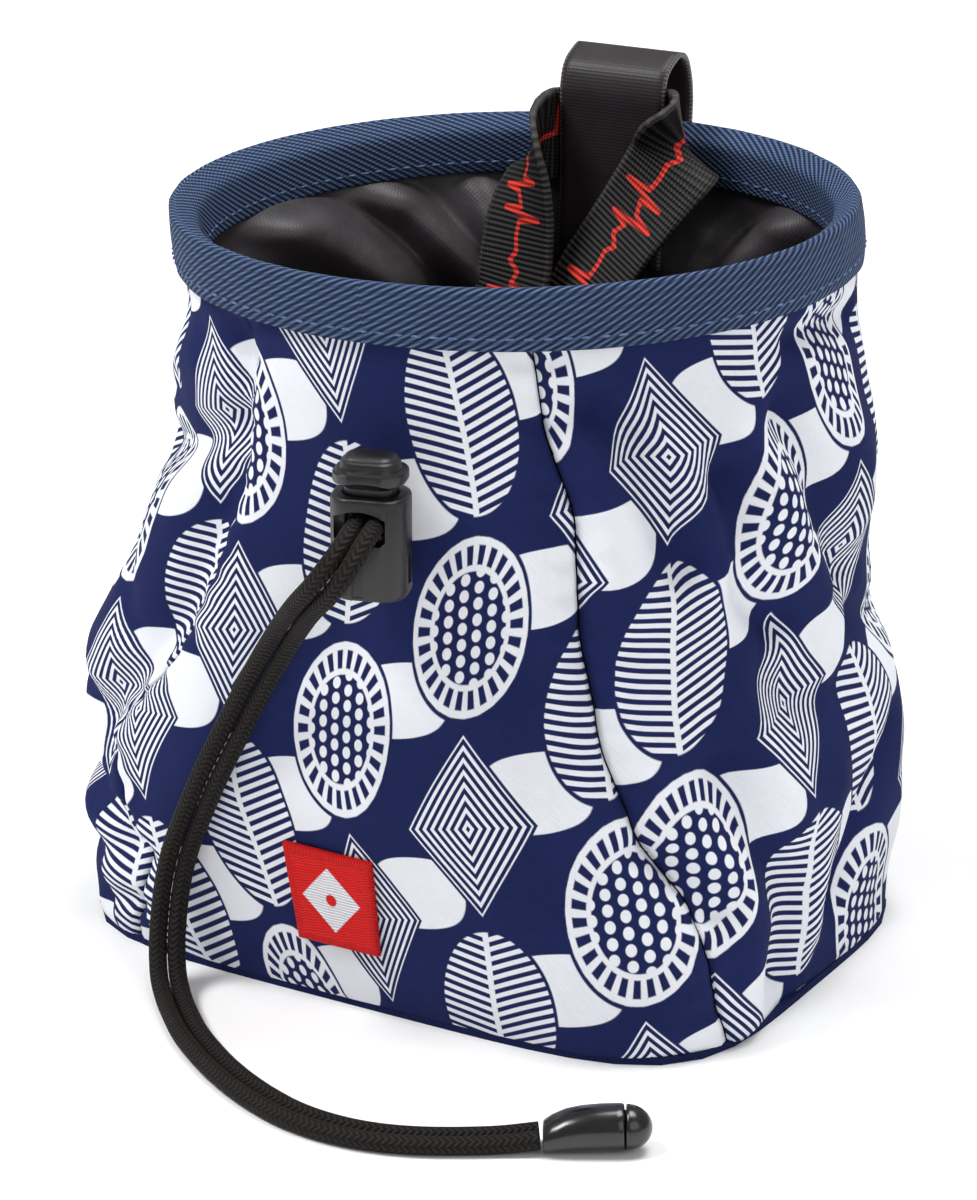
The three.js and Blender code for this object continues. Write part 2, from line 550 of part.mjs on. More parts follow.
// Cord lock: a barrel with a window through it, and a sprung plunger that slides down into it
function addLock() {
  const lock = new THREE.Group();
  const seat = cordPoint(cordRoute[1]);
  lock.position.set(seat.x, seat.y, seat.z - windowRise);
  lock.rotation.z = degrees(lockTurn);
  group.add(lock);

  const cavityWidth = lockWidth - 2 * lockWall;
  const cavityDepth = lockDepth - 2 * lockWall;
  const cavityCorner = lockCorner - lockWall;
  const window = new THREE.Shape();
  window.moveTo(-windowWidth / 2, -windowHeight / 2);
  window.lineTo(windowWidth / 2, -windowHeight / 2);
  window.lineTo(windowWidth / 2, windowHeight / 2 - windowArch);
  window.quadraticCurveTo(0, windowHeight / 2 + windowArch, -windowWidth / 2, windowHeight / 2 - windowArch);
  window.closePath();
  const tunnel = new THREE.ExtrudeGeometry(window, {
    depth: lockDepth * 2,
    bevelEnabled: false,
    curveSegments: 4,
  });
  tunnel.translate(0, 0, -lockDepth).rotateX(Math.PI / 2).translate(windowShift, 0, windowRise);
  const barrel = toSolid(block(roundedRectangle(lockWidth, lockDepth, lockCorner), 0, lockHeight, 0.6))
    .subtract(toSolid(block(roundedRectangle(cavityWidth, cavityDepth, cavityCorner), lockWall, lockHeight * 2)))
    .subtract(toSolid(tunnel));
  addPiece(lock, 'lock_barrel', toGeometry(barrel), 0x2f2c2d, 0.45);

  const stemWidth = cavityWidth - 2 * plungerClearance;
  const stemDepth = cavityDepth - 2 * plungerClearance;
  const holeLow = windowRise - cordDiameter / 2 - plungerClearance;
  const holeHigh = holeLow + cordDiameter + plungerTravel + 2 * plungerClearance;
  const stemLow = lockWall + plungerTravel + seamGap;
  const headLow = lockHeight + plungerTravel + seamGap;
  const slotWidth = cordSpacing + cordDiameter + 2 * plungerClearance;
  const slot = new THREE.BoxGeometry(slotWidth, lockDepth * 2, holeHigh - holeLow);
  slot.translate(0, 0, (holeLow + holeHigh) / 2);
  const headShape = (inset) => roundedRectangle(
    lockWidth - 2 * inset, lockDepth - 2 * inset, lockCorner - inset);
  const stem = block(roundedRectangle(stemWidth, stemDepth, cavityCorner - plungerClearance),
    stemLow, headLow + plungerInset);
  const plunger = toSolid(stem)
    .subtract(toSolid(slot))
    .add(toSolid(block(headShape(plungerInset), headLow, headLow + plungerHead * 0.45, 0.4)))
    .add(toSolid(block(headShape(plungerInset * 2), headLow + plungerHead * 0.4,
      headLow + plungerHead * 0.72, 0.3)))
    .add(toSolid(block(headShape(plungerInset * 2.8), headLow + plungerHead * 0.66,
      headLow + plungerHead, 0.8)));
  addPiece(lock, 'lock_plunger', toGeometry(plunger), 0x2b292a, 0.4);
}

// The two strands of the drawcord, side by side along the route
function addCords() {
  const sides = 8;
  const section = new THREE.Shape();
  for (let i = 0; i < sides; i += 1) {
    const turn = (i + 0.5) * 2 * Math.PI / sides;
    const corner = [Math.cos(turn) * cordDiameter / 2, Math.sin(turn) * cordDiameter / 2];
    if (i === 0) section.moveTo(...corner);
    else section.lineTo(...corner);
  }
  section.closePath();
  const points = cordRoute.map(cordPoint);
  const middle = new THREE.CatmullRomCurve3(points);
  for (const [name, hand] of [['cord_left', 0.5], ['cord_right', -0.5]]) {
    const strand = cordRoute.map((row, i) => {
      const along = middle.getTangent(i / (cordRoute.length - 1));
      const side = new THREE.Vector3(Math.cos(degrees(row.side)), Math.sin(degrees(row.side)), 0);
      side.addScaledVector(along, -side.dot(along)).normalize();
      return points[i].clone().addScaledVector(side, hand * cordSpacing);
    });
    const path = new THREE.CatmullRomCurve3(strand);
    const steps = Math.round(path.getLength() / (2.2 * cordDiameter));
    const tube = new THREE.ExtrudeGeometry(section, { steps, bevelEnabled: false, extrudePath: path });
    addPiece(group, name, tube, 0x171412, 0.9);
  }
}

// Two-part cord end lying on the floor: a tapered body with an oval mouth, and a domed cap
function addCordEnd() {
  const [before, last] = cordRoute.slice(-2).map(cordPoint);
  const heading = Math.atan2(last.y - before.y, last.x - before.x);
  const end = new THREE.Group();
  end.position.set(last.x, last.y, 0);
  end.rotation.z = heading - Math.PI / 2 - degrees(2);
  group.add(end);
  const ring = (along, wide, high) => ({
    place: (angle) => {
      const turn = degrees(angle);
      const z = seamGap + cordEndHeight * high / 2;
      return new THREE.Vector3(
        -Math.sin(turn) * cordEndWidth * wide / 2,
        along,
        z - Math.cos(turn) * cordEndHeight * high / 2);
    },
  });
  const mouth = 2 * seamGap;
  const flatRing = (row) => ring(mouth + row.along * cordEndLength, row.wide, row.high);
  const body = [
    { onAxis: true, place: () => new THREE.Vector3(0, mouth, seamGap + cordEndHeight * 0.3) },
    ...cordEndRows.map(flatRing),
    { onAxis: true, place: () => new THREE.Vector3(0, mouth + cordEndLength, seamGap + cordEndHeight / 2) },
  ];
  addPiece(end, 'cord_end_body', roundShell(body, 16), 0x121212, 0.35);
  const capStart = mouth + cordEndLength + seamGap;
  const dome = [0, 0.35, 0.65, 0.87, 0.97];
  const cap = [
    { onAxis: true, place: () => new THREE.Vector3(0, capStart, seamGap + cordEndHeight / 2) },
    ...dome.map((share) => ({
      place: (angle) => {
        const turn = degrees(angle);
        const round = Math.sqrt(1 - share ** 2) * 0.95;
        return new THREE.Vector3(
          -Math.sin(turn) * round * cordEndWidth / 2,
          capStart + share * cordCapLength,
          seamGap + cordEndHeight / 2 - Math.cos(turn) * round * cordEndHeight / 2);
      },
    })),
    { onAxis: true, place: () => new THREE.Vector3(0, capStart + cordCapLength, seamGap + cordEndHeight / 2) },
  ];
  addPiece(end, 'cord_end_cap', roundShell(cap, 16), 0x121212, 0.3);
}

addOuterCloth();
addBase();
addLining();
addBinding();
addLoop();
addBelt();
addPatch();
addLock();
addCords();
addCordEnd();

export default group;
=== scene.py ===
"""Climbing chalk bag: printed cloth bucket, bound rim, nylon lining, belt loop, belt and cord lock."""

import math
from collections import namedtuple

import bmesh
import bpy
from mathutils import Matrix, Vector, noise


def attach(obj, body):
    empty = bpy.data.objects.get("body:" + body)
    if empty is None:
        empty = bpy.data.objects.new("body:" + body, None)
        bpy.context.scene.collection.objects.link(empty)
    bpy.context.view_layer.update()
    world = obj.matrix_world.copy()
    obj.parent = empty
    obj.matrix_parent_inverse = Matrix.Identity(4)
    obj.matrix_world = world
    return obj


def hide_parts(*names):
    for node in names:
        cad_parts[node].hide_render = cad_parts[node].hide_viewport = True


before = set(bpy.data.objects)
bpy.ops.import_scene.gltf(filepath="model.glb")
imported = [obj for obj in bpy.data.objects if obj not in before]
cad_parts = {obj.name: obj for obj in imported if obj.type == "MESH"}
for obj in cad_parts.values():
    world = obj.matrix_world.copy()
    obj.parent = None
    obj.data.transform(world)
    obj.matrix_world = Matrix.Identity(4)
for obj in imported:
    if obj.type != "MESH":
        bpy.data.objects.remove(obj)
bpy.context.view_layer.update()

MM = 0.001
BAG = "bag"
PLUNGER = "plunger"

# Sizes in millimetres, the same as the bag's solids
RIM_DIAMETER = 140
BAG_HEIGHT = 154
BELLY = (164, 140)
BASE = (153, 112)
RIM_TILT = 1.6
PANEL_WALL = 1.4
LINING_WALL = 1.2
BASE_WALL = 1.6
BINDING_WALL = 1.0
BINDING_DROP = 12
BINDING_SLOPE = 2.4
SHELL_GAP = 0.45
SEAM_GAP = 0.3
LINING_SLACK = 5
LOOP_WIDTH = 24
LOOP_WALL = 1.0
LOOP_RISE = 14.8
LOOP_DROP = 30
LOOP_OFFSET = -3
LOOP_SLACK = 1
BELT_WIDTH = 20
BELT_WALL = 1.4
CLASP_HEIGHT = 7
CORD_DIAMETER = 3.6
CORD_SPACING = 3.8
LOCK_SEAT = (7, -79, 96)
LOCK_TURN = 12
LOCK_SIZE = (15, 12, 20.7)
LOCK_WALL = 2.1
LOCK_CORNER = 4.5
PLUNGER_TRAVEL = 2
END_LENGTH = 15.5
END_WIDTH = 9.4
END_HEIGHT = 9
CAP_LENGTH = 5
END_MOUTH = 0.6
END_TURN = 92
PATCH_SIDE = 21.5
PATCH_WALL = 1.2
PATCH_AT = (0.2, 25.2)
PATCH_BORDER = 1.9
STITCH_PITCH = 0.62

RIM_RADIUS = RIM_DIAMETER / 2
CLOTH_RADIUS = RIM_RADIUS - BINDING_WALL - SHELL_GAP
SANDWICH = PANEL_WALL + SHELL_GAP + LINING_WALL
BINDING_INSET = BINDING_WALL + SHELL_GAP
BINDING_RISE = (BAG_HEIGHT - BINDING_DROP - SEAM_GAP) / BAG_HEIGHT
CLOTH_TOP = (BAG_HEIGHT - BINDING_SLOPE - BINDING_WALL - SHELL_GAP) / BAG_HEIGHT
CLASP_MIDDLE = BASE_WALL + SHELL_GAP + LINING_WALL + SEAM_GAP + CLASP_HEIGHT / 2

Section = namedtuple("Section", "rise rim belly base square shift_x shift_y twist")
SECTIONS = [Section(*row) for row in (
    (0, 0, 0, 1, 4.75, 0.002, -0.072, -5),
    (0.06, 0, 0.22, 0.78, 4.08, -0.002, -0.068, -5),
    (0.13, 0, 0.45, 0.55, 4, -0.007, -0.051, -4.9),
    (0.21, 0, 0.75, 0.25, 3.25, -0.013, -0.03, -4.8),
    (0.29, 0, 1, 0, 2.8, -0.017, -0.019, -4.7),
    (0.36, 0.07, 0.93, 0, 2.55, -0.021, -0.017, -3.9),
    (0.44, 0.38, 0.62, 0, 2.43, -0.015, -0.018, -3),
    (0.52, 0.62, 0.38, 0, 2.33, -0.003, -0.017, -2.1),
    (0.61, 0.67, 0.33, 0, 2.2, 0.009, -0.014, -1.1),
    (0.7, 0.77, 0.23, 0, 2.13, 0.023, -0.009, -0.1),
    (0.79, 0.98, 0.02, 0, 2.09, 0.022, -0.005, 0),
    (0.86, 1.1, -0.1, 0, 2.06, 0.016, -0.003, 0),
    (0.92, 1.04, -0.04, 0, 2.03, 0.011, -0.001, 0),
    (1, 1, 0, 0, 2, 0, 0, 0),
)]

Seam = namedtuple("Seam", "rise left right")
SEAMS = [Seam(*row) for row in (
    (0, -46, 65), (0.1, -42, 61), (0.2, -42, 57), (0.31, -45, 49), (0.44, -34, 43),
    (0.58, -29, 37), (0.7, -29, 33), (0.82, -28, 28), (1, -27, 26),
)]

# Folds follow a line of (angle in degrees, rise). Width and depth are in millimetres.
Fold = namedtuple("Fold", "line width depth")
CLOTH_FOLDS = [Fold(*row) for row in (
    (((-29.5, 0.91), (-30, 0.77), (-31, 0.68), (-33, 0.58), (-36, 0.49), (-43, 0.39), (-50, 0.31)),
     5.5, -4.8),
    (((-26, 0.8), (-25, 0.66), (-27, 0.52)), 7.5, 1.6),
    (((-44, 0.62), (-62, 0.38)), 12.6, 3.4),
    (((-78, 0.26), (-64, 0.215), (-50, 0.19), (-42, 0.14)), 5.2, -4.6),
    (((-70, 0.655), (-58, 0.675), (-45, 0.71), (-34, 0.76)), 5, -3.8),
    (((-72, 0.75), (-60, 0.8), (-46, 0.83)), 6, 2),
    (((-60, 0.6), (-52, 0.52), (-46, 0.44)), 3.6, -1.6),
    (((-47, 0.26), (-56, 0.31), (-66, 0.34)), 3.2, -2.2),
    (((-46, 0.13), (-56, 0.105), (-68, 0.115)), 3.4, -2.4),
    (((-44, 0.07), (-52, 0.045)), 3, -1.6),
    (((-58, 0.16), (-66, 0.165)), 4, 1.6),
    (((37, 0.84), (41, 0.8), (44, 0.75), (48, 0.69), (53, 0.64)), 4.8, -4.6),
    (((33, 0.78), (38, 0.7), (44, 0.6)), 6, 2),
    (((48, 0.8), (52, 0.745), (56, 0.69), (59, 0.63)), 4.4, 3),
    (((57, 0.74), (61, 0.65), (66, 0.575), (72, 0.53)), 4.2, -4.4),
    (((62, 0.78), (68, 0.7), (76, 0.62), (84, 0.55)), 5.2, 3),
    (((72, 0.79), (78, 0.71), (85, 0.63), (94, 0.54)), 4.8, -4),
    (((92, 0.74), (98, 0.62)), 7, 1.8),
    (((29, 0.82), (34, 0.66), (40, 0.52), (46, 0.38), (50, 0.3), (54, 0.25)), 3.8, -2.2),
    (((70, 0.46), (80, 0.41), (92, 0.4)), 5, -2.6),
    (((66, 0.44), (70, 0.34), (76, 0.27)), 5.4, 2.4),
    (((62, 0.37), (66, 0.29), (72, 0.22), (77, 0.15), (78, 0.05)), 4.8, -4),
    (((50, 0.28), (56, 0.235), (61, 0.19)), 3.4, -2.4),
    (((62, 0.25), (68, 0.15), (69, 0.04)), 4.5, 2.2),
    (((86, 0.3), (84, 0.2), (86, 0.1)), 4.6, 1.8),
    (((110, 0.28), (100, 0.22), (94, 0.12)), 5.6, -4.4),
    (((104, 0.857), (88, 0.883), (76, 0.89)), 3.8, -2.6),
    (((92, 0.5), (86, 0.42)), 5.5, 1.6),
    (((120, 0.42), (108, 0.44), (98, 0.47)), 4.6, -2.6),
    (((148, 0.74), (155, 0.5), (162, 0.22)), 10.5, -3),
    (((178, 0.66), (186, 0.26)), 12, 2.2),
    (((238, 0.76), (230, 0.5), (222, 0.24)), 9.8, -3.4),
    (((256, 0.6), (262, 0.35)), 7, -2),
    (((120, 0.66), (130, 0.5), (134, 0.3)), 7, -2.4),
    (((200, 0.34), (214, 0.16)), 5.5, -1.8),
    (((166, 0.84), (176, 0.7)), 6, -1.6),
    (((210, 0.86), (204, 0.62)), 6.5, -1.8),
    (((-4, 0.6), (-9, 0.3)), 13, -0.9),
    (((8, 0.88), (12, 0.74)), 7, -0.9),
)]
LINING_FOLDS = [Fold(*row) for row in (
    (((258, 0.915), (248, 0.875), (239, 0.82), (231, 0.77)), 9.5, -8.5),
    (((248, 0.925), (238, 0.875), (229, 0.815), (222, 0.75)), 3.8, 3.6),
    (((236, 0.93), (227, 0.88), (220, 0.83), (214, 0.78)), 4.6, -5),
    (((228, 0.925), (221, 0.87), (214, 0.81)), 3, 2.4),
    (((213, 0.9), (209, 0.82), (208, 0.76)), 3.6, -3),
    (((274, 0.93), (262, 0.895), (250, 0.85), (238, 0.785)), 3.4, -2),
    (((300, 0.93), (288, 0.905), (276, 0.89)), 4, 2.2),
    (((150, 0.93), (155, 0.88), (163, 0.82)), 3.4, 2.6),
    (((141, 0.925), (148, 0.87), (160, 0.8), (170, 0.76)), 6, -6),
    (((134, 0.9), (140, 0.84), (150, 0.76)), 3.4, 2.4),
    (((128, 0.9), (132, 0.8), (142, 0.7)), 5, -4),
    (((182, 0.88), (186, 0.8)), 4, -2),
    (((196, 0.9), (192, 0.8), (194, 0.7)), 4.4, 2),
    (((116, 0.88), (110, 0.7)), 5, 2.4),
    (((92, 0.86), (96, 0.66), (100, 0.42)), 8.5, -5),
    (((300, 0.82), (312, 0.5)), 9, -4),
    (((30, 0.84), (40, 0.6)), 9, -3),
    (((345, 0.8), (352, 0.5)), 9, -3),
)]

LoopRow = namedtuple("LoopRow", "across drop lift")
LOOP_PATH = [LoopRow(*row) for row in (
    (-0.1, 1, 0), (-0.08, 0.84, 0), (-0.04, 0.66, 0), (0, 0.46, 0), (0, 0.22, 0), (0, 0, 0.08),
    (0, 0, 0.55), (0.12, 0, 0.82), (0.4, 0, 0.96), (0.6, 0, 1), (0.8, 0, 0.9), (0.96, 0, 0.6),
    (1.02, 0, 0.25), (1, 0.05, 0), (1, 0.4, 0), (1, 0.5, 0), (0.93, 0.75, 0), (0.92, 1, 0),
)]

BeltRow = namedtuple("BeltRow", "side front rise edge")
BELT_PATH = [BeltRow(*row) for row in (
    (-1.09, 0.243, 0, (0, -1, 0)), (-1.39, 0.243, -0.003, (0, -1, 0)),
    (-1.66, 0.24, 0.011, (0.05, -1, 0)), (-1.79, 0.232, 0.068, (0.1, -1, 0)),
    (-1.69, 0.205, 0.214, (0.3, -0.95, 0)), (-1.39, 0.165, 0.422, (0.6, -0.8, 0)),
    (-1.11, 0.135, 0.599, (0.85, -0.5, 0.05)), (-0.93, 0.117, 0.714, (0.93, -0.33, 0.12)),
    (-0.86, 0.103, 0.782, (0.95, -0.28, 0.14)), (-0.84, 0.088, 0.85, (0.9, -0.3, 0.3)),
    (-0.82, 0.074, 0.908, (0.74, -0.38, 0.52)), (-0.8, 0.056, 0.954, (0.45, -0.36, 0.8)),
    (-0.77, 0.034, 0.976, (0.15, -0.2, 0.96)), (-0.715, 0.011, 0.977, (0.02, -0.02, 1)),
    (-0.62, 0, 0.977, (0, 0, 1)), (-0.48, 0, 0.978, (0, 0, 1)), (0, 0, 0.982, (0, 0, 1)),
    (0.48, 0, 0.99, (0, 0, 1)), (0.62, 0, 0.992, (0, 0, 1)), (0.735, 0.011, 0.995, (-0.08, 0, 1)),
    (0.87, 0.031, 0.993, (-0.28, -0.02, 0.95)), (0.845, 0.053, 0.973, (-0.58, 0.14, 0.8)),
    (0.67, 0.067, 0.933, (-0.76, 0.3, 0.56)), (0.44, 0.081, 0.883, (-0.85, 0.4, 0.34)),
    (0.22, 0.095, 0.834, (-0.88, 0.42, 0.22)), (0.02, 0.11, 0.78, (-0.9, 0.4, 0.16)),
    (-0.1, 0.123, 0.707, (-0.95, 0.25, 0.1)), (-0.06, 0.138, 0.605, (-0.98, 0, 0)),
    (0.22, 0.164, 0.422, (-0.8, -0.6, 0)), (0.67, 0.203, 0.214, (-0.45, -0.9, 0)),
    (0.89, 0.23, 0.068, (-0.1, -1, 0)), (0.8, 0.24, 0.011, (-0.05, -1, 0)),
    (0.56, 0.243, -0.003, (0, -1, 0)), (0.27, 0.243, 0, (0, -1, 0)),
)]

# Middle line between the two strands of the drawcord. side is the heading of the offset.
CordRow = namedtuple("CordRow", "x y z side")
CORD_ROUTE = [CordRow(*row) for row in (
    (5.6, -72.6, 111, 192), (7, -79, 111, 192), (8.3, -85.2, 111, 192), (8.9, -90.4, 109.9, 190),
    (7.6, -93.8, 106.4, 188), (3.9, -94, 101.2, 186), (-1.7, -90.3, 95.4, 184), (-9.2, -82.6, 87.2, 184),
    (-15.2, -78, 79.3, 184), (-20.5, -75.2, 71.3, 184), (-24.9, -73.7, 63.6, 186),
    (-29.2, -72.9, 55.6, 186), (-33.4, -72.3, 47.4, 188), (-37.6, -71, 38.7, 190),
    (-41.9, -69.4, 29.2, 194), (-43.9, -69.2, 22, 198), (-44.4, -70.6, 14.5, 202),
    (-43.3, -73.6, 8.5, 206), (-41, -77.4, 4.2, 210), (-37.2, -82.2, 2.2, 216),
    (-32, -88.5, 1.9, 219), (-26.6, -94.5, 1.9, 222), (-20.9, -99.7, 1.9, 228),
    (-14.7, -104.7, 1.9, 232), (-7.5, -109.6, 1.9, 237), (0.2, -113.8, 1.9, 243), (8.2, -117, 1.9, 253),
    (16.4, -118.5, 1.9, 265), (24.5, -118.4, 1.9, 276), (32.6, -116.6, 1.9, 287),
    (40.6, -113.3, 1.9, 294), (48.6, -109.3, 2.1, 297), (55.2, -106, 2.9, 296),
)]


def clamp(value, low=0.0, high=1.0):
    return max(low, min(high, value))


def lerp(a, b, share):
    return a + (b - a) * share


def ease(value, low, high):
    share = clamp((value - low) / (high - low))
    return share * share * (3 - 2 * share)


def column(rows, key, rise):
    """A column of a table at one rise, on a smooth line through its rows."""
    last = len(rows) - 2
    i = next((i for i in range(last + 1) if rows[i + 1].rise >= rise), last)

    def slope(j):
        low, high = rows[max(j - 1, 0)], rows[min(j + 1, last + 1)]
        return (getattr(high, key) - getattr(low, key)) / (high.rise - low.rise)

    a, b = rows[i], rows[i + 1]
    span = b.rise - a.rise
    s = clamp((rise - a.rise) / span)
    return ((2 * s ** 3 - 3 * s ** 2 + 1) * getattr(a, key) + (s ** 3 - 2 * s ** 2 + s) * span * slope(i)
            + (3 * s ** 2 - 2 * s ** 3) * getattr(b, key) + (s ** 3 - s ** 2) * span * slope(i + 1))


def fold_depth(folds, angle, rise, fade=0.05):
    """Sum of the folds at one place on the cloth, in millimetres. They fade out below the binding."""
    depth = 0.0
    y = rise * BAG_HEIGHT
    turned = (angle + 100) % 360 - 100
    for fold in folds:
        nearest = 1e9
        for turn in (0, 360):
            x = math.radians(turned + turn - (360 if fold.line[0][0] < 0 and turn else 0)) * RIM_RADIUS
            for start, end in zip(fold.line, fold.line[1:]):
                ax, ay = math.radians(start[0]) * RIM_RADIUS, start[1] * BAG_HEIGHT
                dx, dy = math.radians(end[0]) * RIM_RADIUS - ax, end[1] * BAG_HEIGHT - ay
                share = clamp(((x - ax) * dx + (y - ay) * dy) / (dx * dx + dy * dy))
                away = (x - ax - share * dx) ** 2 + (y - ay - share * dy) ** 2
                nearest = min(nearest, away)
        if nearest < 7 * fold.width ** 2:
            depth += fold.depth * math.exp(-nearest / fold.width ** 2)
    return depth * (1 - ease(rise, BINDING_RISE - fade, BINDING_RISE + 0.01))


section_at = {}


def wall(angle, rise, inset=0.0, folds=(), lift=None):
    """A point of the bag's wall, in metres: angle from the front, inset inwards from the outer face."""
    if rise not in section_at:
        values = {key: column(SECTIONS, key, rise) for key in Section._fields[1:]}
        for key, belly, base in (("wide", BELLY[0], BASE[0]), ("deep", BELLY[1], BASE[1])):
            oval = (values["belly"] * belly + values["base"] * base) / 2
            values[key] = values["rim"] * CLOTH_RADIUS + oval
        section_at[rise] = values
    at = section_at[rise]
    turn = math.radians(angle)
    power = at["square"]
    outline = (abs(math.sin(turn)) / at["wide"]) ** power + (abs(math.cos(turn)) / at["deep"]) ** power
    radius = outline ** (-1 / power) + fold_depth(folds, angle, rise) - inset
    spin = turn + math.radians(at["twist"])
    raised = RIM_TILT * math.cos(turn - math.radians(60)) * ease(rise, 0.5, 1)
    return Vector((
        at["shift_x"] * RIM_DIAMETER + radius * math.sin(spin),
        at["shift_y"] * RIM_DIAMETER - radius * math.cos(spin),
        rise * BAG_HEIGHT + raised if lift is None else lift)) * MM


def bend_line(points, share):
    """A point of the smooth line through a list of points, with share from 0 to 1."""
    last = len(points) - 1
    i = min(int(share * last), last - 1)
    t = share * last - i
    p1, p2 = points[i], points[i + 1]
    p0 = points[i - 1] if i else p1 * 2 - p2
    p3 = points[i + 2] if i + 2 <= last else p2 * 2 - p1
    d0, d1, d2 = (max((b - a).length, 1e-6) ** 0.5 for a, b in ((p0, p1), (p1, p2), (p2, p3)))
    out = ((p1 - p0) / d0 - (p2 - p0) / (d0 + d1) + (p2 - p1) / d1) * d1
    into = ((p2 - p1) / d1 - (p3 - p1) / (d1 + d2) + (p3 - p2) / d2) * d1
    square = p2 * 3 - p1 * 3 - out * 2 - into
    cube = p1 * 2 - p2 * 2 + out + into
    return p1 + out * t + square * t ** 2 + cube * t ** 3


def even_line(points, extras, steps):
    """Evenly spaced (point, extra) pairs along the smooth line, and its length."""
    fine = [(bend_line(points, i / (steps * 4)), i / (steps * 4)) for i in range(steps * 4 + 1)]
    reach = [0.0]
    for (a, _), (b, _) in zip(fine, fine[1:]):
        reach.append(reach[-1] + (b - a).length)
    made, j = [], 0
    for i in range(steps + 1):
        goal = reach[-1] * i / steps
        while j < len(reach) - 2 and reach[j + 1] < goal:
            j += 1
        t = clamp((goal - reach[j]) / max(reach[j + 1] - reach[j], 1e-9))
        share = lerp(fine[j][1], fine[j + 1][1], t)
        made.append((fine[j][0].lerp(fine[j + 1][0], t), bend_line(extras, share) if extras else None))
    return made, reach[-1]


# Finishes

def ink(red, green, blue):
    """A screen colour from 0 to 255, as Blender's linear colour."""
    linear = [((c / 255 + 0.055) / 1.055) ** 2.4 if c > 10 else c / 255 / 12.92 for c in (red, green, blue)]
    return (*linear, 1.0)


class Field:
    """A value that varies over a surface. Arithmetic on it adds Math nodes."""

    def __init__(self, finish, socket):
        self.finish = finish
        self.socket = socket

    def maths(self, operation, *values):
        return self.finish.node("ShaderNodeMath", {"operation": operation}, dict(enumerate(values)))

    def __add__(self, other):
        return self.maths("ADD", self, other)

    def __sub__(self, other):
        return self.maths("SUBTRACT", self, other)

    def __rsub__(self, other):
        return self.maths("SUBTRACT", other, self)

    def __mul__(self, other):
        return self.maths("MULTIPLY", self, other)

    def __truediv__(self, other):
        return self.maths("DIVIDE", self, other)

    def __pow__(self, other):
        return self.maths("POWER", self, other)

    def __mod__(self, other):
        return self.maths("FLOORED_MODULO", self, other)

    def __abs__(self):
        return self.maths("ABSOLUTE", self)

    def floor(self):
        return self.maths("FLOOR", self)

    def root(self):
        return self.maths("SQRT", self)

    def wave(self):
        return self.maths("SINE", self)

    def most(self, other):
        return self.maths("MAXIMUM", self, other)

    def least(self, other):
        return self.maths("MINIMUM", self, other)

    def below(self, edge, soft):
        """1 where the value is below edge, 0 above, with a soft step between."""
        settings = {"interpolation_type": "SMOOTHSTEP"}
        return self.finish.node("ShaderNodeMapRange", settings,
                                {0: self, 1: edge - soft, 2: edge + soft, 3: 1.0, 4: 0.0})

    __radd__ = __add__
    __rmul__ = __mul__


class Finish:
    """A material whose constants sit on the shader's sockets and whose detail comes from nodes."""

    def __init__(self, name, **constants):
        self.material = bpy.data.materials.new(name)
        self.material.use_nodes = True
        self.tree = self.material.node_tree
        self.surface = self.tree.nodes["Principled BSDF"]
        for key, value in constants.items():
            self.surface.inputs[key.replace("_", " ")].default_value = value

    def node(self, kind, settings=None, inputs=None, output=0):
        made = self.tree.nodes.new(kind)
        for key, value in (settings or {}).items():
            setattr(made, key, value)
        for key, value in (inputs or {}).items():
            if isinstance(value, Field):
                self.tree.links.new(value.socket, made.inputs[key])
            else:
                made.inputs[key].default_value = value
        return Field(self, made.outputs[output])

    def place(self, kind="UV"):
        """(x, y, z) of the piece's UV map, mostly in millimetres, or of its Object coordinates in metres."""
        spot = self.node("ShaderNodeTexCoord", output=kind)
        return tuple(self.node("ShaderNodeSeparateXYZ", inputs={0: spot}, output=i) for i in range(3))

    def grain(self, scale, detail=2.0, rough=0.5):
        """Noise between 0 and 1, with scale in waves to the metre."""
        spot = self.node("ShaderNodeTexCoord", output="Object")
        return self.node("ShaderNodeTexNoise", inputs={"Vector": spot, "Scale": scale, "Detail": detail,
                                                       "Roughness": rough})

    def mix(self, share, a, b):
        return self.node("ShaderNodeMix", {"data_type": "RGBA"}, {0: share, 6: a, 7: b}, output=2)

    def feed(self, **links):
        for key, value in links.items():
            self.tree.links.new(value.socket, self.surface.inputs[key.replace("_", " ")])

    def relief(self, height, depth):
        """Bump from a height between 0 and 1, with its full depth in millimetres."""
        bump = self.node("ShaderNodeBump", inputs={"Height": height, "Distance": depth * MM, "Strength": 1.0})
        self.feed(Normal=bump)


TURN = 2 * math.pi
NAVY = ink(27, 36, 84)
NAVY_DEEP = ink(19, 26, 64)
CHALK_WHITE = ink(232, 234, 240)


# The print, in millimetres: the room of one motif, half a motif, how soft its edges are and its details
PRINT_ROOM = (27.0, 41.0)
MOTIF_HALF = (11.6, 18.6)
PRINT_SOFT = 0.11
PRINT_LEAN = 0.17
BAR_PITCH = 2.1
DOT_PITCH = (2.9, 3.3)
RING_COUNT = 7.5
TICK_COUNT = 26
PRINT_RADIUS = 74


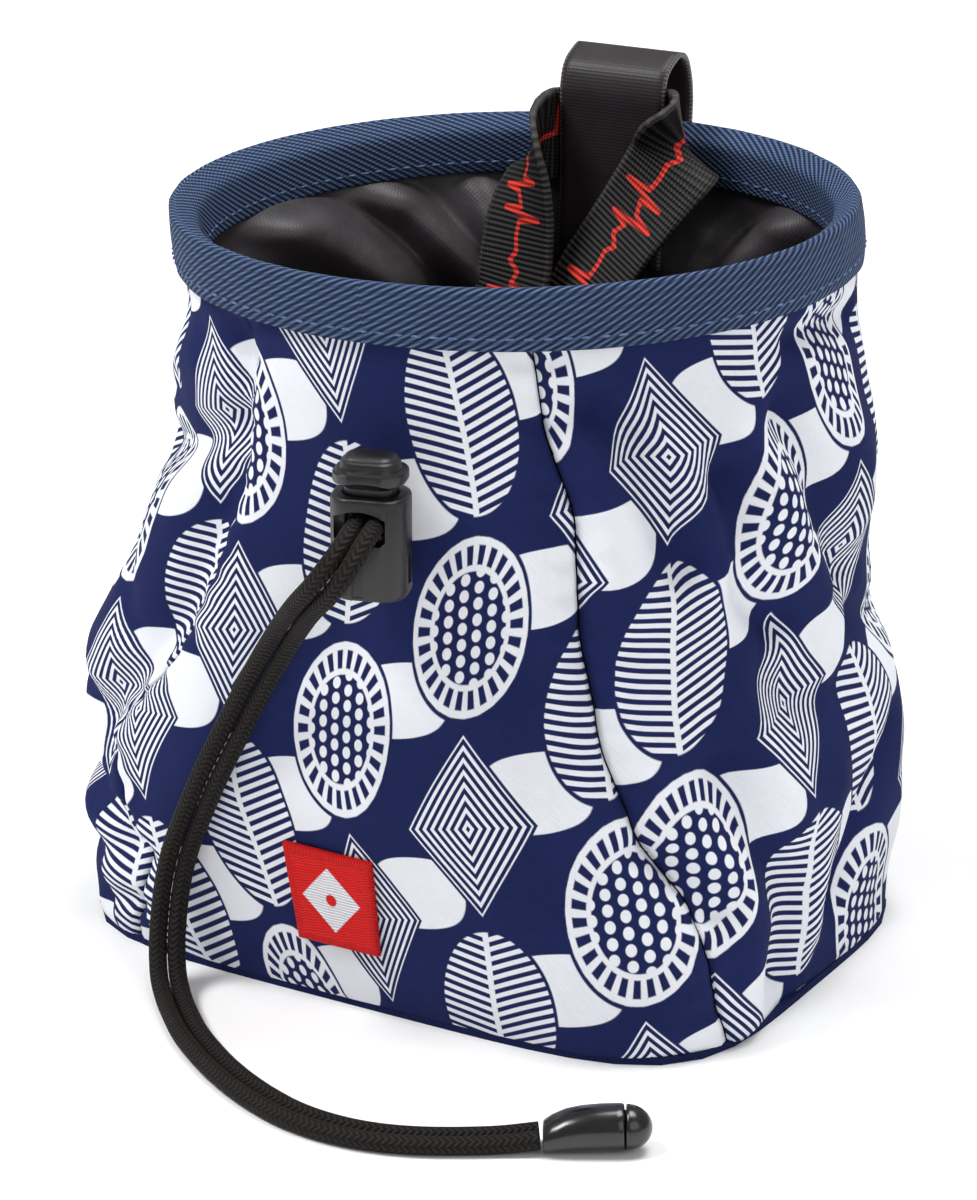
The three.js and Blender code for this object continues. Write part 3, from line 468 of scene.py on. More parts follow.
def oval_print(finish):
    """White share of a print of ovals and diamonds on a ground of navy and white patches."""
    u, v, _ = finish.place()
    u, v = u * 0.985 + v * PRINT_LEAN, v * 0.985 - u * PRINT_LEAN
    wide, tall = PRINT_ROOM
    col = (u / wide).floor()
    shifted = v + (col % 2) * (tall / 2)
    row = (shifted / tall).floor()
    x = u - (col + 0.5) * wide
    y = shifted - (row + 0.5) * tall
    a, b = MOTIF_HALF
    oval = ((x / a) ** 2 + (y / b) ** 2).root()
    gem = abs(x) / a * 0.94 + abs(y) / b * 0.98
    kind = (col + row * 2) % 3

    in_gem = gem.below(1.0, 0.012)
    in_oval = oval.below(1.0, 0.012)

    rings = abs((gem * RING_COUNT) % 1 - 0.5).below(0.235, 0.06)
    left = x.below(0, 0.06)
    bars = abs(((y - abs(x) * 0.35) / BAR_PITCH) % 1 - 0.5).below(0.25, 0.05)
    striped = bars * left + (1 - bars) * (1 - left)
    striped = striped.most(abs(x).below(0.6, PRINT_SOFT))
    inner = oval.below(0.66, 0.014)
    around = finish.node("ShaderNodeMath", {"operation": "ARCTAN2"}, {0: y / b, 1: x / a})
    ticks = abs((around * (TICK_COUNT / TURN)) % 1 - 0.5).below(0.23, 0.05)
    dot_x = (x / DOT_PITCH[0]) % 1 - 0.5
    dot_y = ((y / DOT_PITCH[1]) + ((x / DOT_PITCH[0]).floor() % 2) * 0.5) % 1 - 0.5
    dots = ((dot_x * DOT_PITCH[0]) ** 2 + (dot_y * 2.4) ** 2).root().below(0.92, PRINT_SOFT)
    spotted = inner * dots + (1 - inner) * ticks
    spotted = spotted.most(abs(oval - 0.66).below(0.035, 0.012))
    spotted = spotted.most(abs(oval - 0.955).below(0.045, 0.012))

    patches = ((u + wide / 2) * (TURN / (wide * 2))).wave() * ((v + 4) * (TURN / tall)).wave()
    ground = 1 - patches.below(0.34, 0.02)
    is_gem, is_bars = kind.below(0.5, 0.1), abs(kind - 1).below(0.5, 0.1)
    is_dots = 1 - is_gem - is_bars
    inside = in_gem * is_gem + in_oval * (1 - is_gem)
    drawn = rings * is_gem + striped * is_bars + spotted * is_dots
    border = gem.below(1.06, 0.012) * is_gem + oval.below(1.055, 0.012) * (1 - is_gem)
    return drawn * inside + ground * (1 - border) * (1 - inside)


def printed_cloth():
    """Fine diagonal twill in navy, with the white print on it."""
    finish = Finish("printed_cloth", Roughness=0.9, Specular_IOR_Level=0.1)
    u, v, _ = finish.place()
    white = oval_print(finish)
    twill = abs(((u + v) / 0.62) % 1 - 0.5) * 2
    blot = finish.grain(60, 4)
    navy = finish.mix(blot, NAVY_DEEP, NAVY)
    navy = finish.mix(twill * 0.22, navy, ink(52, 62, 116))
    chalk = finish.mix(twill * 0.12, CHALK_WHITE, ink(190, 196, 212))
    finish.feed(Base_Color=finish.mix(white, navy, chalk))
    finish.relief(twill * 0.5 + finish.grain(900, 2) * 0.5, 0.09)
    return finish.material


def lining_nylon():
    """Dark coated nylon with crinkles and a faint weave, its colour painted darker in the crinkle hollows and
    lighter on their crests.
    """
    finish = Finish("lining_nylon", Roughness=0.46, Specular_IOR_Level=0.4)
    u, v, _ = finish.place()
    weave = (u * (TURN / 0.9)).wave() * (v * (TURN / 0.9)).wave() * 0.5 + 0.5
    crinkles_and_painted_shade = finish.grain(90, 4, 0.55)
    # Painted shade and highlight: the colour follows the crinkle relief, darker in its hollows and lighter on
    # its crests.
    finish.feed(Base_Color=finish.mix(crinkles_and_painted_shade, ink(32, 29, 32), ink(64, 60, 63)),
                Roughness=0.40 + crinkles_and_painted_shade * 0.16)
    finish.relief(crinkles_and_painted_shade * 0.92 + weave * 0.08, 0.35)
    return finish.material


# Where the binding's UV map, up one side and down the other, passes over its crest
BINDING_TURN = 14.0
BINDING_ROUND = 29.0


def binding_twill():
    """Tape with fine diagonal ribs that lean the other way on the inner side, and lighter threads in them."""
    finish = Finish("binding_twill", Roughness=0.8, Specular_IOR_Level=0.15)
    u, v, _ = finish.place()
    flip = abs(v - BINDING_TURN)
    rib = abs(((u + flip * 1.7) / 2.35) % 1 - 0.5) * 2
    thread = ((v - u * 0.35) * (TURN / 0.8)).wave() * 0.5 + 0.5
    light = (rib ** 1.6) * (0.45 + 0.55 * thread)
    blot = finish.grain(70, 3)
    base = finish.mix(blot, ink(12, 20, 42), ink(17, 28, 56))
    finish.feed(Base_Color=finish.mix(light * 0.8, base, ink(112, 138, 180)))
    finish.relief(rib * 0.75 + thread * 0.25, 0.3)
    return finish.material


def satin_tape():
    """Black satin tape with fine ribs across it and lighter threads at its edges."""
    finish = Finish("satin_tape", Roughness=0.42, Specular_IOR_Level=0.32)
    u, v, _ = finish.place()
    rib = (v * (TURN / 0.7)).wave() * 0.5 + 0.5
    warp = (u * (TURN / 0.5)).wave() * 0.5 + 0.5
    middle = abs(u).below(LOOP_WIDTH / 2 - 0.45, 0.15)
    thread = (v * (TURN / 0.9)).wave() * 0.5 + 0.5
    blot = finish.grain(120, 3)
    edge = finish.mix(thread, ink(48, 44, 44), ink(112, 106, 104))
    finish.feed(Base_Color=finish.mix(middle, edge, finish.mix(blot, ink(34, 31, 33), ink(46, 42, 45))),
                Roughness=0.38 + blot * 0.14)
    finish.relief(rib * 0.4 + warp * 0.3 + finish.grain(700, 2) * 0.3, 0.06)
    return finish.material


# One repeat of the red line on the belt: (along the belt, across it) in millimetres
PULSE_REPEAT = 23.0
PULSE = ((0, 0), (3.2, 0.3), (4.2, 6.4), (5.5, -4.6), (6.3, 0.6), (9.4, -0.9), (10.4, -6.0), (11.7, 4.9),
         (12.6, 0.2), (15.4, 1.5), (17.6, -1.1), (19.6, 0.5), (PULSE_REPEAT, 0))


def belt_weave():
    """Black ribbed webbing, lit along its cross threads, with a woven red line."""
    finish = Finish("belt_weave", Roughness=0.6, Specular_IOR_Level=0.25)
    u, v, _ = finish.place()
    rib = (v * (TURN / 1.15)).wave() * 0.5 + 0.5
    warp = (u * (TURN / 0.85) + (v / 1.15).floor() * 0.9).wave() * 0.5 + 0.5
    along = v % PULSE_REPEAT
    nearest = None
    for (x0, y0), (x1, y1) in zip(PULSE, PULSE[1:]):
        dx, dy = x1 - x0, y1 - y0
        whole = dx * dx + dy * dy
        share = ((along - x0) * (dx / whole) + (u - y0) * (dy / whole)).least(1).most(0)
        away = ((along - x0 - share * dx) ** 2 + (u - y0 - share * dy) ** 2).root()
        nearest = away if nearest is None else nearest.least(away)
    red = nearest.below(0.55, 0.14)
    rim = 1 - abs(u).below(BELT_WIDTH / 2 - 0.9, 0.2)
    lit = (rib ** 2) * (0.3 + 0.7 * warp)
    dark = finish.mix(lit, ink(12, 11, 12), ink(66, 61, 61))
    dark = finish.mix(rim * 0.3, dark, ink(84, 80, 80))
    finish.feed(Base_Color=finish.mix(red, dark, finish.mix(rib, ink(176, 32, 26), ink(236, 66, 52))))
    finish.relief(rib * 0.7 + warp * 0.3, 0.26)
    return finish.material


def cord_braid():
    """Small chevrons along the cord, on a UV map that is in turns around it and millimetres along it."""
    finish = Finish("cord_braid", Roughness=0.8, Specular_IOR_Level=0.2)
    u, v, _ = finish.place()
    strand = abs((u * 5) % 1 - 0.5) * 2
    chevron = abs(((v / 1.35) + strand * 0.8) % 1 - 0.5) * 2
    plait = (chevron ** 1.4) * (0.25 + 0.75 * (1 - strand ** 4))
    finish.feed(Base_Color=finish.mix(plait, ink(6, 5, 5), ink(48, 42, 39)))
    finish.relief(plait, 0.34)
    return finish.material


def lock_plastic():
    """Semi-matte black plastic with a fine grain."""
    finish = Finish("lock_plastic", Roughness=0.42)
    fine = finish.grain(1800, 3)
    blot = finish.grain(160, 3)
    finish.feed(Base_Color=finish.mix(blot, ink(16, 14, 15), ink(25, 22, 23)), Roughness=0.29 + blot * 0.16)
    finish.relief(fine, 0.05)
    return finish.material


def end_plastic():
    """Glossy black plastic."""
    finish = Finish("end_plastic", Roughness=0.22, Coat_Weight=0.25, Coat_Roughness=0.12)
    blot = finish.grain(300, 3)
    finish.feed(Base_Color=finish.mix(blot, ink(9, 8, 9), ink(16, 15, 16)), Roughness=0.18 + blot * 0.14)
    finish.relief(finish.grain(1500, 2), 0.02)
    return finish.material


def patch_thread():
    """Red satin stitch with a raised border, and a plain white lozenge with a dot in its middle."""
    finish = Finish("patch_thread", Roughness=0.6, Specular_IOR_Level=0.2)
    u, v, _ = finish.place()
    edge = abs(u).most(abs(v))
    border = 1 - edge.below(PATCH_SIDE / 2 - PATCH_BORDER, 0.12)
    upright = (abs(u) - abs(v)).below(0, 0.1)
    rows = abs((v / STITCH_PITCH) % 1 - 0.5) * 2
    steps = abs((u / STITCH_PITCH) % 1 - 0.5) * 2
    satin = steps * upright + rows * (1 - upright)
    fill = abs(((v + (u / 2.6).floor() * (STITCH_PITCH / 2)) / STITCH_PITCH) % 1 - 0.5) * 2
    stitch = satin * border + fill * (1 - border)
    gem = abs(u) + abs(v)
    mark = gem.below(7.2, 0.2) * (1 - (u ** 2 + v ** 2).root().below(1.3, 0.16))
    red = finish.mix(stitch, ink(170, 8, 10), ink(240, 26, 24))
    red = finish.mix(border * 0.35, red, ink(176, 10, 12))
    white = finish.mix(rows, ink(186, 186, 194), ink(250, 250, 252))
    finish.feed(Base_Color=finish.mix(mark, red, white))
    finish.relief(stitch * 0.4 + border * 0.3 + mark * 0.3, 0.5)
    return finish.material


def sewing_thread(name, dark, light):
    finish = Finish(name, Roughness=0.7, Specular_IOR_Level=0.2)
    finish.feed(Base_Color=finish.mix(finish.grain(900, 2), dark, light))
    finish.relief(finish.grain(2400, 2), 0.05)
    return finish.material


def base_cloth():
    finish = Finish("base_cloth", Roughness=0.9, Specular_IOR_Level=0.1)
    x, y, _ = finish.place("Object")
    weave = (x * (TURN / 0.0011)).wave() * (y * (TURN / 0.0011)).wave() * 0.5 + 0.5
    finish.feed(Base_Color=finish.mix(finish.grain(70, 3), ink(20, 27, 64), ink(29, 37, 80)))
    finish.relief(weave, 0.12)
    return finish.material


# Pieces

def grid(across, along, place, spread=(1.0, 1.0), around=False, start=(0.0, 0.0)):
    """A bmesh grid laid out by place(u, v), with a UV map of u and v times spread, from start."""
    shape = bmesh.new()
    bmesh.ops.create_grid(shape, x_segments=across, y_segments=along, size=0.5)
    chart = shape.loops.layers.uv.new("UVMap")
    for face in shape.faces:
        for corner in face.loops:
            u, v = corner.vert.co.x + 0.5, corner.vert.co.y + 0.5
            corner[chart].uv = (start[0] + u * spread[0], start[1] + v * spread[1])
    for vert in shape.verts:
        vert.co = place(round(vert.co.x + 0.5, 6), round(vert.co.y + 0.5, 6))
    if around:
        bmesh.ops.remove_doubles(shape, verts=shape.verts, dist=1e-7)
    return shape


def piece(name, shape, material, nodes=(), body=BAG):
    mesh = bpy.data.meshes.new(name)
    shape.to_mesh(mesh)
    shape.free()
    mesh.shade_smooth()
    made = bpy.data.objects.new(name, mesh)
    bpy.context.scene.collection.objects.link(made)
    mesh.materials.append(material)
    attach(made, body)
    if nodes:
        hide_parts(*nodes)
    return made


def thicken(made, wall_mm, offset=-1.0):
    """Gives a sheet its wall, inwards from its face, or to both sides of it with offset 0."""
    solid = made.modifiers.new("wall", "SOLIDIFY")
    solid.thickness = wall_mm * MM
    solid.offset = offset
    solid.use_even_offset = False
    solid.use_rim = True


def take_camera():
    """The photo's own view."""
    lens = bpy.data.cameras.new("photo_camera")
    lens.sensor_width = 36
    lens.lens = 138.32
    lens.clip_start = 0.05
    lens.clip_end = 20
    eye = bpy.data.objects.new("photo_camera", lens)
    bpy.context.scene.collection.objects.link(eye)
    spot = Vector((380.4, -815.7, 411.3)) * MM
    aim = Vector((-4.65, -2.17, 65.9)) * MM
    eye.location = spot
    eye.rotation_euler = (aim - spot).to_track_quat("-Z", "Y").to_euler()
    bpy.context.scene.camera = eye


def strand_points(hand):
    """The places that one strand of the drawcord goes through, in metres."""
    middle = [Vector((row.x, row.y, row.z)) for row in CORD_ROUTE]
    made = []
    for i, row in enumerate(CORD_ROUTE):
        along = (middle[min(i + 1, len(middle) - 1)] - middle[max(i - 1, 0)]).normalized()
        side = Vector((math.cos(math.radians(row.side)), math.sin(math.radians(row.side)), 0))
        side = (side - along * side.dot(along)).normalized()
        made.append((middle[i] + side * (hand * CORD_SPACING)) * MM)
    return made


def add_cord(name, node, hand, material):
    """A round strand along its line. Gives the piece, the places along it and its length."""
    steps = 340
    line, length = even_line(strand_points(hand), None, steps)
    spots = [point for point, _ in line]
    frames = []
    for i, spot in enumerate(spots):
        along = (spots[min(i + 1, steps)] - spots[max(i - 1, 0)]).normalized()
        side = (side - along * side.dot(along) if i else along.cross(Vector((0, 0, 1)))).normalized()
        frames.append((spot, side, along.cross(side)))
    radius = (CORD_DIAMETER / 2 + 0.06) * MM

    def place(u, v):
        spot, side, other = frames[round(v * steps)]
        turn = -u * TURN
        return spot + side * (radius * math.cos(turn)) + other * (radius * math.sin(turn))

    shape = grid(16, steps, place, (1.0, length / MM), around=True)
    bmesh.ops.holes_fill(shape, edges=[e for e in shape.edges if e.is_boundary], sides=0)
    made = piece(name, shape, material, (node,))
    return made, spots, length


take_camera()
braid = cord_braid()
plastic_end = end_plastic()


def end_ring(along, wide, high, square):
    """A ring of the cord end, along from its mouth, with its underside just above the floor."""
    def place(turn):
        c, s = math.cos(turn), math.sin(turn)
        r = (abs(c) ** square + abs(s) ** square) ** (-1 / square)
        middle = SEAM_GAP + END_HEIGHT * high / 2
        return Vector((r * s * END_WIDTH * wide / 2, along, middle - r * c * END_HEIGHT * high / 2))
    return place


def end_piece(name, rings, node):
    """A closed shape through rings, at the end of the cord's line and turned with it."""
    first = Vector((CORD_ROUTE[-2].x, CORD_ROUTE[-2].y, 0))
    last = Vector((CORD_ROUTE[-1].x, CORD_ROUTE[-1].y, 0))
    heading = math.atan2(last.y - first.y, last.x - first.x) - math.radians(END_TURN)
    move = Matrix.Translation(last * MM) @ Matrix.Rotation(heading, 4, "Z") @ Matrix.Scale(MM, 4)
    count = len(rings) - 1
    shape = grid(40, count, lambda u, v: move @ rings[round(v * count)](-u * TURN), around=True)
    bmesh.ops.holes_fill(shape, edges=[e for e in shape.edges if e.is_boundary], sides=0)
    bmesh.ops.recalc_face_normals(shape, faces=shape.faces)
    return piece(name, shape, plastic_end, (node,))


EndRow = namedtuple("EndRow", "along wide high square")
END_BODY = [EndRow(*row) for row in (
    (0.6, 0.70, 0.42, 2.0), (0.6, 0.84, 0.54, 2.2), (0.9, 0.89, 0.58, 2.3), (2.4, 0.95, 0.70, 2.3),
    (5.0, 0.99, 0.84, 2.3), (8.0, 1.00, 0.93, 2.2), (11.5, 1.00, 0.98, 2.1), (14.6, 0.99, 1.00, 2.0),
    (15.7, 0.985, 1.00, 2.0), (16.0, 0.96, 0.975, 2.0), (16.1, 0.90, 0.93, 2.0), (16.1, 0.84, 0.86, 2.0),
    (16.35, 0.84, 0.86, 2.0), (16.35, 0.5, 0.6, 2.0),
)]


def add_cord_end():
    body = end_piece("cord_end_grip", [end_ring(*row) for row in END_BODY], "cord_end_body")
    start = END_MOUTH + END_LENGTH + SEAM_GAP
    dome = [end_ring(start, 0.4, 0.5, 2.0), end_ring(start, 0.9, 0.93, 2.0)]
    count = 14
    for i in range(count):
        share = math.sin(i / count * math.pi / 2)
        size = max(0.03, math.cos(i / count * math.pi / 2)) * 0.97
        ring = end_ring(start + 0.1 + share * CAP_LENGTH, size, size, 2.0)
        raised = Vector((0, 0, END_HEIGHT * (1 - size) / 2))
        dome.append(lambda turn, ring=ring, raised=raised: ring(turn) + raised)
    cap = end_piece("cord_end_tip", dome, "cord_end_cap")
    return [body, cap]


fittings = add_cord_end()
for cord_name, cord_node, cord_hand in (
        ("drawcord_left", "cord_left", 0.5), ("drawcord_right", "cord_right", -0.5)):
    strand, strand_spots, strand_length = add_cord(cord_name, cord_node, cord_hand, braid)
    tuple(strand_spots[0])
    [tuple(p) for p in strand_spots[::4]]

cloth = printed_cloth()


def seam_angle(side, rise):
    """Angle of the left or right front seam at one rise, in degrees."""
    low, high = next(((a, b) for a, b in zip(SEAMS, SEAMS[1:]) if b.rise >= rise), SEAMS[-2:])
    share = clamp((rise - low.rise) / (high.rise - low.rise))
    share = lerp(share, ease(share, 0, 1), 0.35)
    return lerp(getattr(low, side), getattr(high, side), share)


def crumple(point, rise, angle):
    """Small uneven waves of the cloth, in millimetres."""
    slack = 0.35 + 0.65 * ease(abs(((angle + 180) % 360) - 180), 20, 60)
    wide = noise.noise(point * 55 + Vector((3.1, 0, 0)))
    fine = noise.noise(point * 150 + Vector((0, 7.7, 0)))
    return slack * (wide * 0.9 + fine * 0.28) * (1 - ease(rise, 0.86, 0.93))


def cloth_place(angle, rise, edge):
    """A point of the outer cloth, edge millimetres away from its nearest seam."""
    roll = 0.9 * (1 - math.sqrt(1 - (1 - clamp(edge / 1.8)) ** 2))
    pucker = 0.35 * math.cos(rise * BAG_HEIGHT * TURN / 6.5) * math.exp(-((edge - 2.5) / 3.5) ** 2)
    low = clamp(1 - rise * BAG_HEIGHT / 3.2)
    tuck = 2.6 * (1 - math.sqrt(1 - low ** 2))
    wave = crumple(wall(angle, rise), rise, angle)
    return wall(angle, rise, roll + tuck - wave - pucker, CLOTH_FOLDS)


def add_panel(name, node, start, end, across, along, shift):
    """A cloth panel between two seams, with the print's place shifted by millimetres."""
    def place(u, v):
        rise = lerp(0.5 / BAG_HEIGHT, CLOTH_TOP, v)
        low, high = start(rise), end(rise)
        angle = lerp(low, high, u)
        arc = math.radians(min(angle - low, high - angle)) * RIM_RADIUS
        return cloth_place(angle, rise, arc)

    shape = grid(across, along, place)
    chart = shape.loops.layers.uv["UVMap"]
    for face in shape.faces:
        for corner in face.loops:
            u, v = corner[chart].uv
            rise = lerp(0.5 / BAG_HEIGHT, CLOTH_TOP, v)
            angle = lerp(start(rise), end(rise), u)
            corner[chart].uv = (
                math.radians(angle) * PRINT_RADIUS + shift[0], rise * BAG_HEIGHT + shift[1])
    made = piece(name, shape, cloth, (node,))
    thicken(made, PANEL_WALL)


half_seam = math.degrees(SEAM_GAP / 2 / CLOTH_RADIUS)
add_panel("front_cloth", "front_panel", lambda rise: seam_angle("left", rise) + half_seam,
          lambda rise: seam_angle("right", rise) - half_seam, 100, 140, (0, 0))
add_panel("wrap_cloth", "wrap_panel", lambda rise: seam_angle("right", rise) + half_seam,
          lambda rise: seam_angle("left", rise) + 360 - half_seam, 270, 130, (11, 17))

def dress(node, material):
    """Gives a finish to a solid that is shown as it is."""
    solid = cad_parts[node]
    solid.data.materials.clear()
    solid.data.materials.append(material)


dress("base_panel", base_cloth())


def add_lining():
    """The inner bag: a floor up to floor_share of the grid, then a wall that stays inside the panels."""
    floor_rise = 0.03
    floor_share = 0.16

    def loose(rise):
        return LINING_SLACK * (1 - ease(rise, 0.80, BINDING_RISE))

    def place(u, v):
        angle = u * 360
        if v < floor_share:
            share = v / floor_share
            rim = wall(angle, floor_rise, PANEL_WALL + SHELL_GAP + LINING_SLACK)
            middle = (wall(0, 0) + wall(180, 0)) / 2
            spot = middle.lerp(rim, share * 0.97)
            spot.z = (BASE_WALL + SHELL_GAP + 0.25 * noise.noise(spot * 60)) * MM
            return spot
        rise = lerp(floor_rise, CLOTH_TOP, (v - floor_share) / (1 - floor_share))
        spot = wall(angle, rise)
        wave = noise.noise(spot * 40) * 1.5 + noise.noise(spot * 100) * 0.6
        own = fold_depth(LINING_FOLDS, angle, rise, 0.03) + wave * (1 - ease(rise, 0.86, 0.93))
        room = loose(rise) + 0.15 - crumple(spot, rise, angle)
        if own > room - 1:
            own = room - math.exp(room - 1 - own)
        return wall(angle, rise, PANEL_WALL + SHELL_GAP + loose(rise) - own, CLOTH_FOLDS)

    shape = grid(280, 150, place, (430.0, 190.0), around=True)
    made = piece("lining_cloth", shape, lining_nylon(), ("lining",))
    thicken(made, LINING_WALL)


add_lining()


# Corners of the binding's profile: (inset, height from the rim) in millimetres
BINDING_ROWS = (
    (0.0, -12.0), (-0.25, -9.0), (-0.3, -5.0), (-0.1, -2.2), (0.0, -1.1), (0.2, -0.45), (0.65, -0.08),
    (1.2, 0.0), (1.9, -0.22), (3.2, -1.0), (4.6, -1.95), (5.3, -2.6), (5.75, -3.4), (5.95, -4.6),
    (6.1, -7.0), (6.15, -9.5), (5.95, -12.0))


def binding_profile(steps):
    """(inset, height) pairs up the outer face, over the crest and down the slope and the inner face."""
    corners = [Vector((deep, BAG_HEIGHT + low, 0)) for deep, low in BINDING_ROWS]
    return [(spot.x, spot.y) for spot, _ in even_line(corners, None, steps)[0]]


def add_binding():
    rows = 48
    profile = binding_profile(rows)

    def place(u, v):
        deep, height = profile[round(v * rows)]
        angle = u * 360
        turn = math.radians(angle)
        wave = 0.3 * noise.noise(Vector((math.sin(turn), math.cos(turn), 0)) * 7)
        return wall(angle, height / BAG_HEIGHT, deep - BINDING_INSET + wave)

    shape = grid(300, rows, place, (TURN * RIM_RADIUS, BINDING_ROUND), around=True)
    made = piece("binding_tape", shape, binding_twill(), ("rim_binding",))
    thicken(made, BINDING_WALL)


add_binding()


def add_stitches(name, spots, material, length, width):
    """Short threads: each spot is (place, direction along the seam, direction out of the cloth)."""
    shape = bmesh.new()
    for spot, along, out in spots:
        side = along.cross(out).normalized()
        turned = Matrix((along, side, out)).transposed().to_4x4()
        size = Matrix.Diagonal((length / 2 * MM, width / 2 * MM, width * 0.4 * MM, 1))
        where = Matrix.Translation(spot) @ turned @ size
        bmesh.ops.create_icosphere(shape, subdivisions=1, radius=1.0, matrix=where)
    piece(name, shape, material)


def ring_of_stitches(inset, outward):
    """Places of the binding's stitches, all round the rim at one height."""
    rise = 144.4 / BAG_HEIGHT
    count = round(TURN * RIM_RADIUS / 3.6)
    spots = []
    for i in range(count):
        angle = i * 360 / count
        here = wall(angle, rise, inset)
        ahead = wall(angle + 0.5, rise, inset)
        along = (ahead - here).normalized()
        out = along.cross(Vector((0, 0, 1))).normalized() * outward
        spots.append((here, along, out))
    return spots


rim_thread = sewing_thread("rim_thread", ink(34, 46, 80), ink(120, 142, 186))
for stitches_name, stitches_inset, stitches_side in (
        ("rim_stitches_outside", -BINDING_INSET - 0.3, 1.0),
        ("rim_stitches_inside", SANDWICH + BINDING_INSET + 0.2, -1.0)):
    add_stitches(stitches_name, ring_of_stitches(stitches_inset, stitches_side), rim_thread,
                 2.4, 0.6)


def add_strap(name, node, places, edges, width, wall_mm, steps, material):
    """A flat strap along a line of places, with the direction of its width at each."""
    line, length = even_line(places, edges, steps)
    frames = []
    for i, (spot, edge) in enumerate(line):
        along = (line[min(i + 1, steps)][0] - line[max(i - 1, 0)][0]).normalized()
        edge = (edge - along * edge.dot(along)).normalized()
        frames.append((spot, edge))

    def place(u, v):
        spot, edge = frames[round(v * steps)]
        return (spot + edge * ((u - 0.5) * width)) * MM

    shape = grid(12, steps, place, (width, length), start=(-width / 2, 0.0))
    made = piece(name, shape, material, (node,))
    thicken(made, wall_mm, 0.0)


binding_outer_back = wall(180, 1, -BINDING_INSET).y / MM
binding_inner_back = wall(180, 1, SANDWICH + BINDING_INSET).y / MM
half_loop = LOOP_WIDTH / 2 + abs(LOOP_OFFSET) + BELT_WALL * 3
belt_behind = math.sqrt(binding_inner_back ** 2 - half_loop ** 2) - LOOP_SLACK - SEAM_GAP - BELT_WALL * 1.6
loop_inner = belt_behind - BELT_WALL / 2 - SHELL_GAP - LOOP_WALL / 2
loop_outer = binding_outer_back + SEAM_GAP + LOOP_WALL / 2

loop_places = [Vector((LOOP_OFFSET, lerp(loop_inner, loop_outer, row.across),
                       BAG_HEIGHT - row.drop * LOOP_DROP + row.lift * LOOP_RISE)) for row in LOOP_PATH]
add_strap("loop_strap", "belt_loop", loop_places, [Vector((1, 0, 0)) for _ in LOOP_PATH],
          LOOP_WIDTH, LOOP_WALL, 150, satin_tape())

belt_places = [Vector((LOOP_OFFSET + row.side * BELT_WIDTH, belt_behind - row.front * RIM_DIAMETER,
                       lerp(CLASP_MIDDLE, BAG_HEIGHT, row.rise))) for row in BELT_PATH]
add_strap("belt_strap", "belt_webbing", belt_places, [Vector(row.edge) for row in BELT_PATH],
          BELT_WIDTH, BELT_WALL, 460, belt_weave())


def add_patch():
    half = math.degrees(PATCH_SIDE / 2 / RIM_RADIUS)

    def place(u, v):
        rise = (PATCH_AT[1] + (v - 0.5) * PATCH_SIDE) / BAG_HEIGHT
        edge = min(u, v, 1 - u, 1 - v) * PATCH_SIDE
        crown = PATCH_WALL * math.sqrt(1 - (1 - clamp(edge / 0.8)) ** 2)
        return wall(PATCH_AT[0] + (u - 0.5) * 2 * half, rise, -SHELL_GAP - crown, CLOTH_FOLDS)

    shape = grid(60, 60, place, (PATCH_SIDE, PATCH_SIDE), start=(-PATCH_SIDE / 2, -PATCH_SIDE / 2))
    made = piece("patch_embroidery", shape, patch_thread(), ("logo_patch",))
    thicken(made, 0.5)


add_patch()

hard_plastic = lock_plastic()


def lock_frame():
    """From the lock's own place, in millimetres, to the shared frame."""
    turned = Matrix.Rotation(math.radians(LOCK_TURN), 4, "Z")
    return Matrix.Translation(Vector(LOCK_SEAT) * MM) @ turned @ Matrix.Scale(MM, 4)


LockRow = namedtuple("LockRow", "height inset")


def rounded_tube(rows):
    """Rounded rectangles one above the other, closed at both ends, in the lock's own place."""
    width, depth, _ = LOCK_SIZE
    count = len(rows) - 1

    def place(u, v):
        row = rows[round(v * count)]
        a, b = width / 2 - row.inset, depth / 2 - row.inset
        r = max(0.2, min(LOCK_CORNER, a, b) - row.inset * 0.3)
        turn = u * TURN
        c, s = math.cos(turn), math.sin(turn)
        far = 100.0
        x = clamp(far * c, -(a - r), a - r) + r * c if abs(c) > 1e-9 else 0.0
        y = clamp(far * s, -(b - r), b - r) + r * s if abs(s) > 1e-9 else 0.0
        return Vector((x, y, row.height))

    shape = grid(64, count, place, around=True)
    bmesh.ops.holes_fill(shape, edges=[e for e in shape.edges if e.is_boundary], sides=0)
    bmesh.ops.recalc_face_normals(shape, faces=shape.faces)
    bmesh.ops.transform(shape, matrix=lock_frame(), verts=shape.verts)
    return shape


def carve(made, cutter_shape):
    """Takes a shape away from a piece, for good."""
    mesh = bpy.data.meshes.new("cutter")
    cutter_shape.to_mesh(mesh)
    cutter_shape.free()
    cutter = bpy.data.objects.new("cutter", mesh)
    bpy.context.scene.collection.objects.link(cutter)
    cut = made.modifiers.new("cut", "BOOLEAN")
    cut.operation = "DIFFERENCE"
    cut.solver = "MANIFOLD"
    cut.object = cutter
    bpy.context.view_layer.update()
    carved = bpy.data.meshes.new_from_object(made.evaluated_get(bpy.context.evaluated_depsgraph_get()))
    made.modifiers.remove(cut)
    made.data = carved
    bpy.data.objects.remove(cutter)


def crisp(made):
    """Keeps the shading sharp at the piece's edges."""
    made.data.set_sharp_from_angle(angle=math.radians(32))


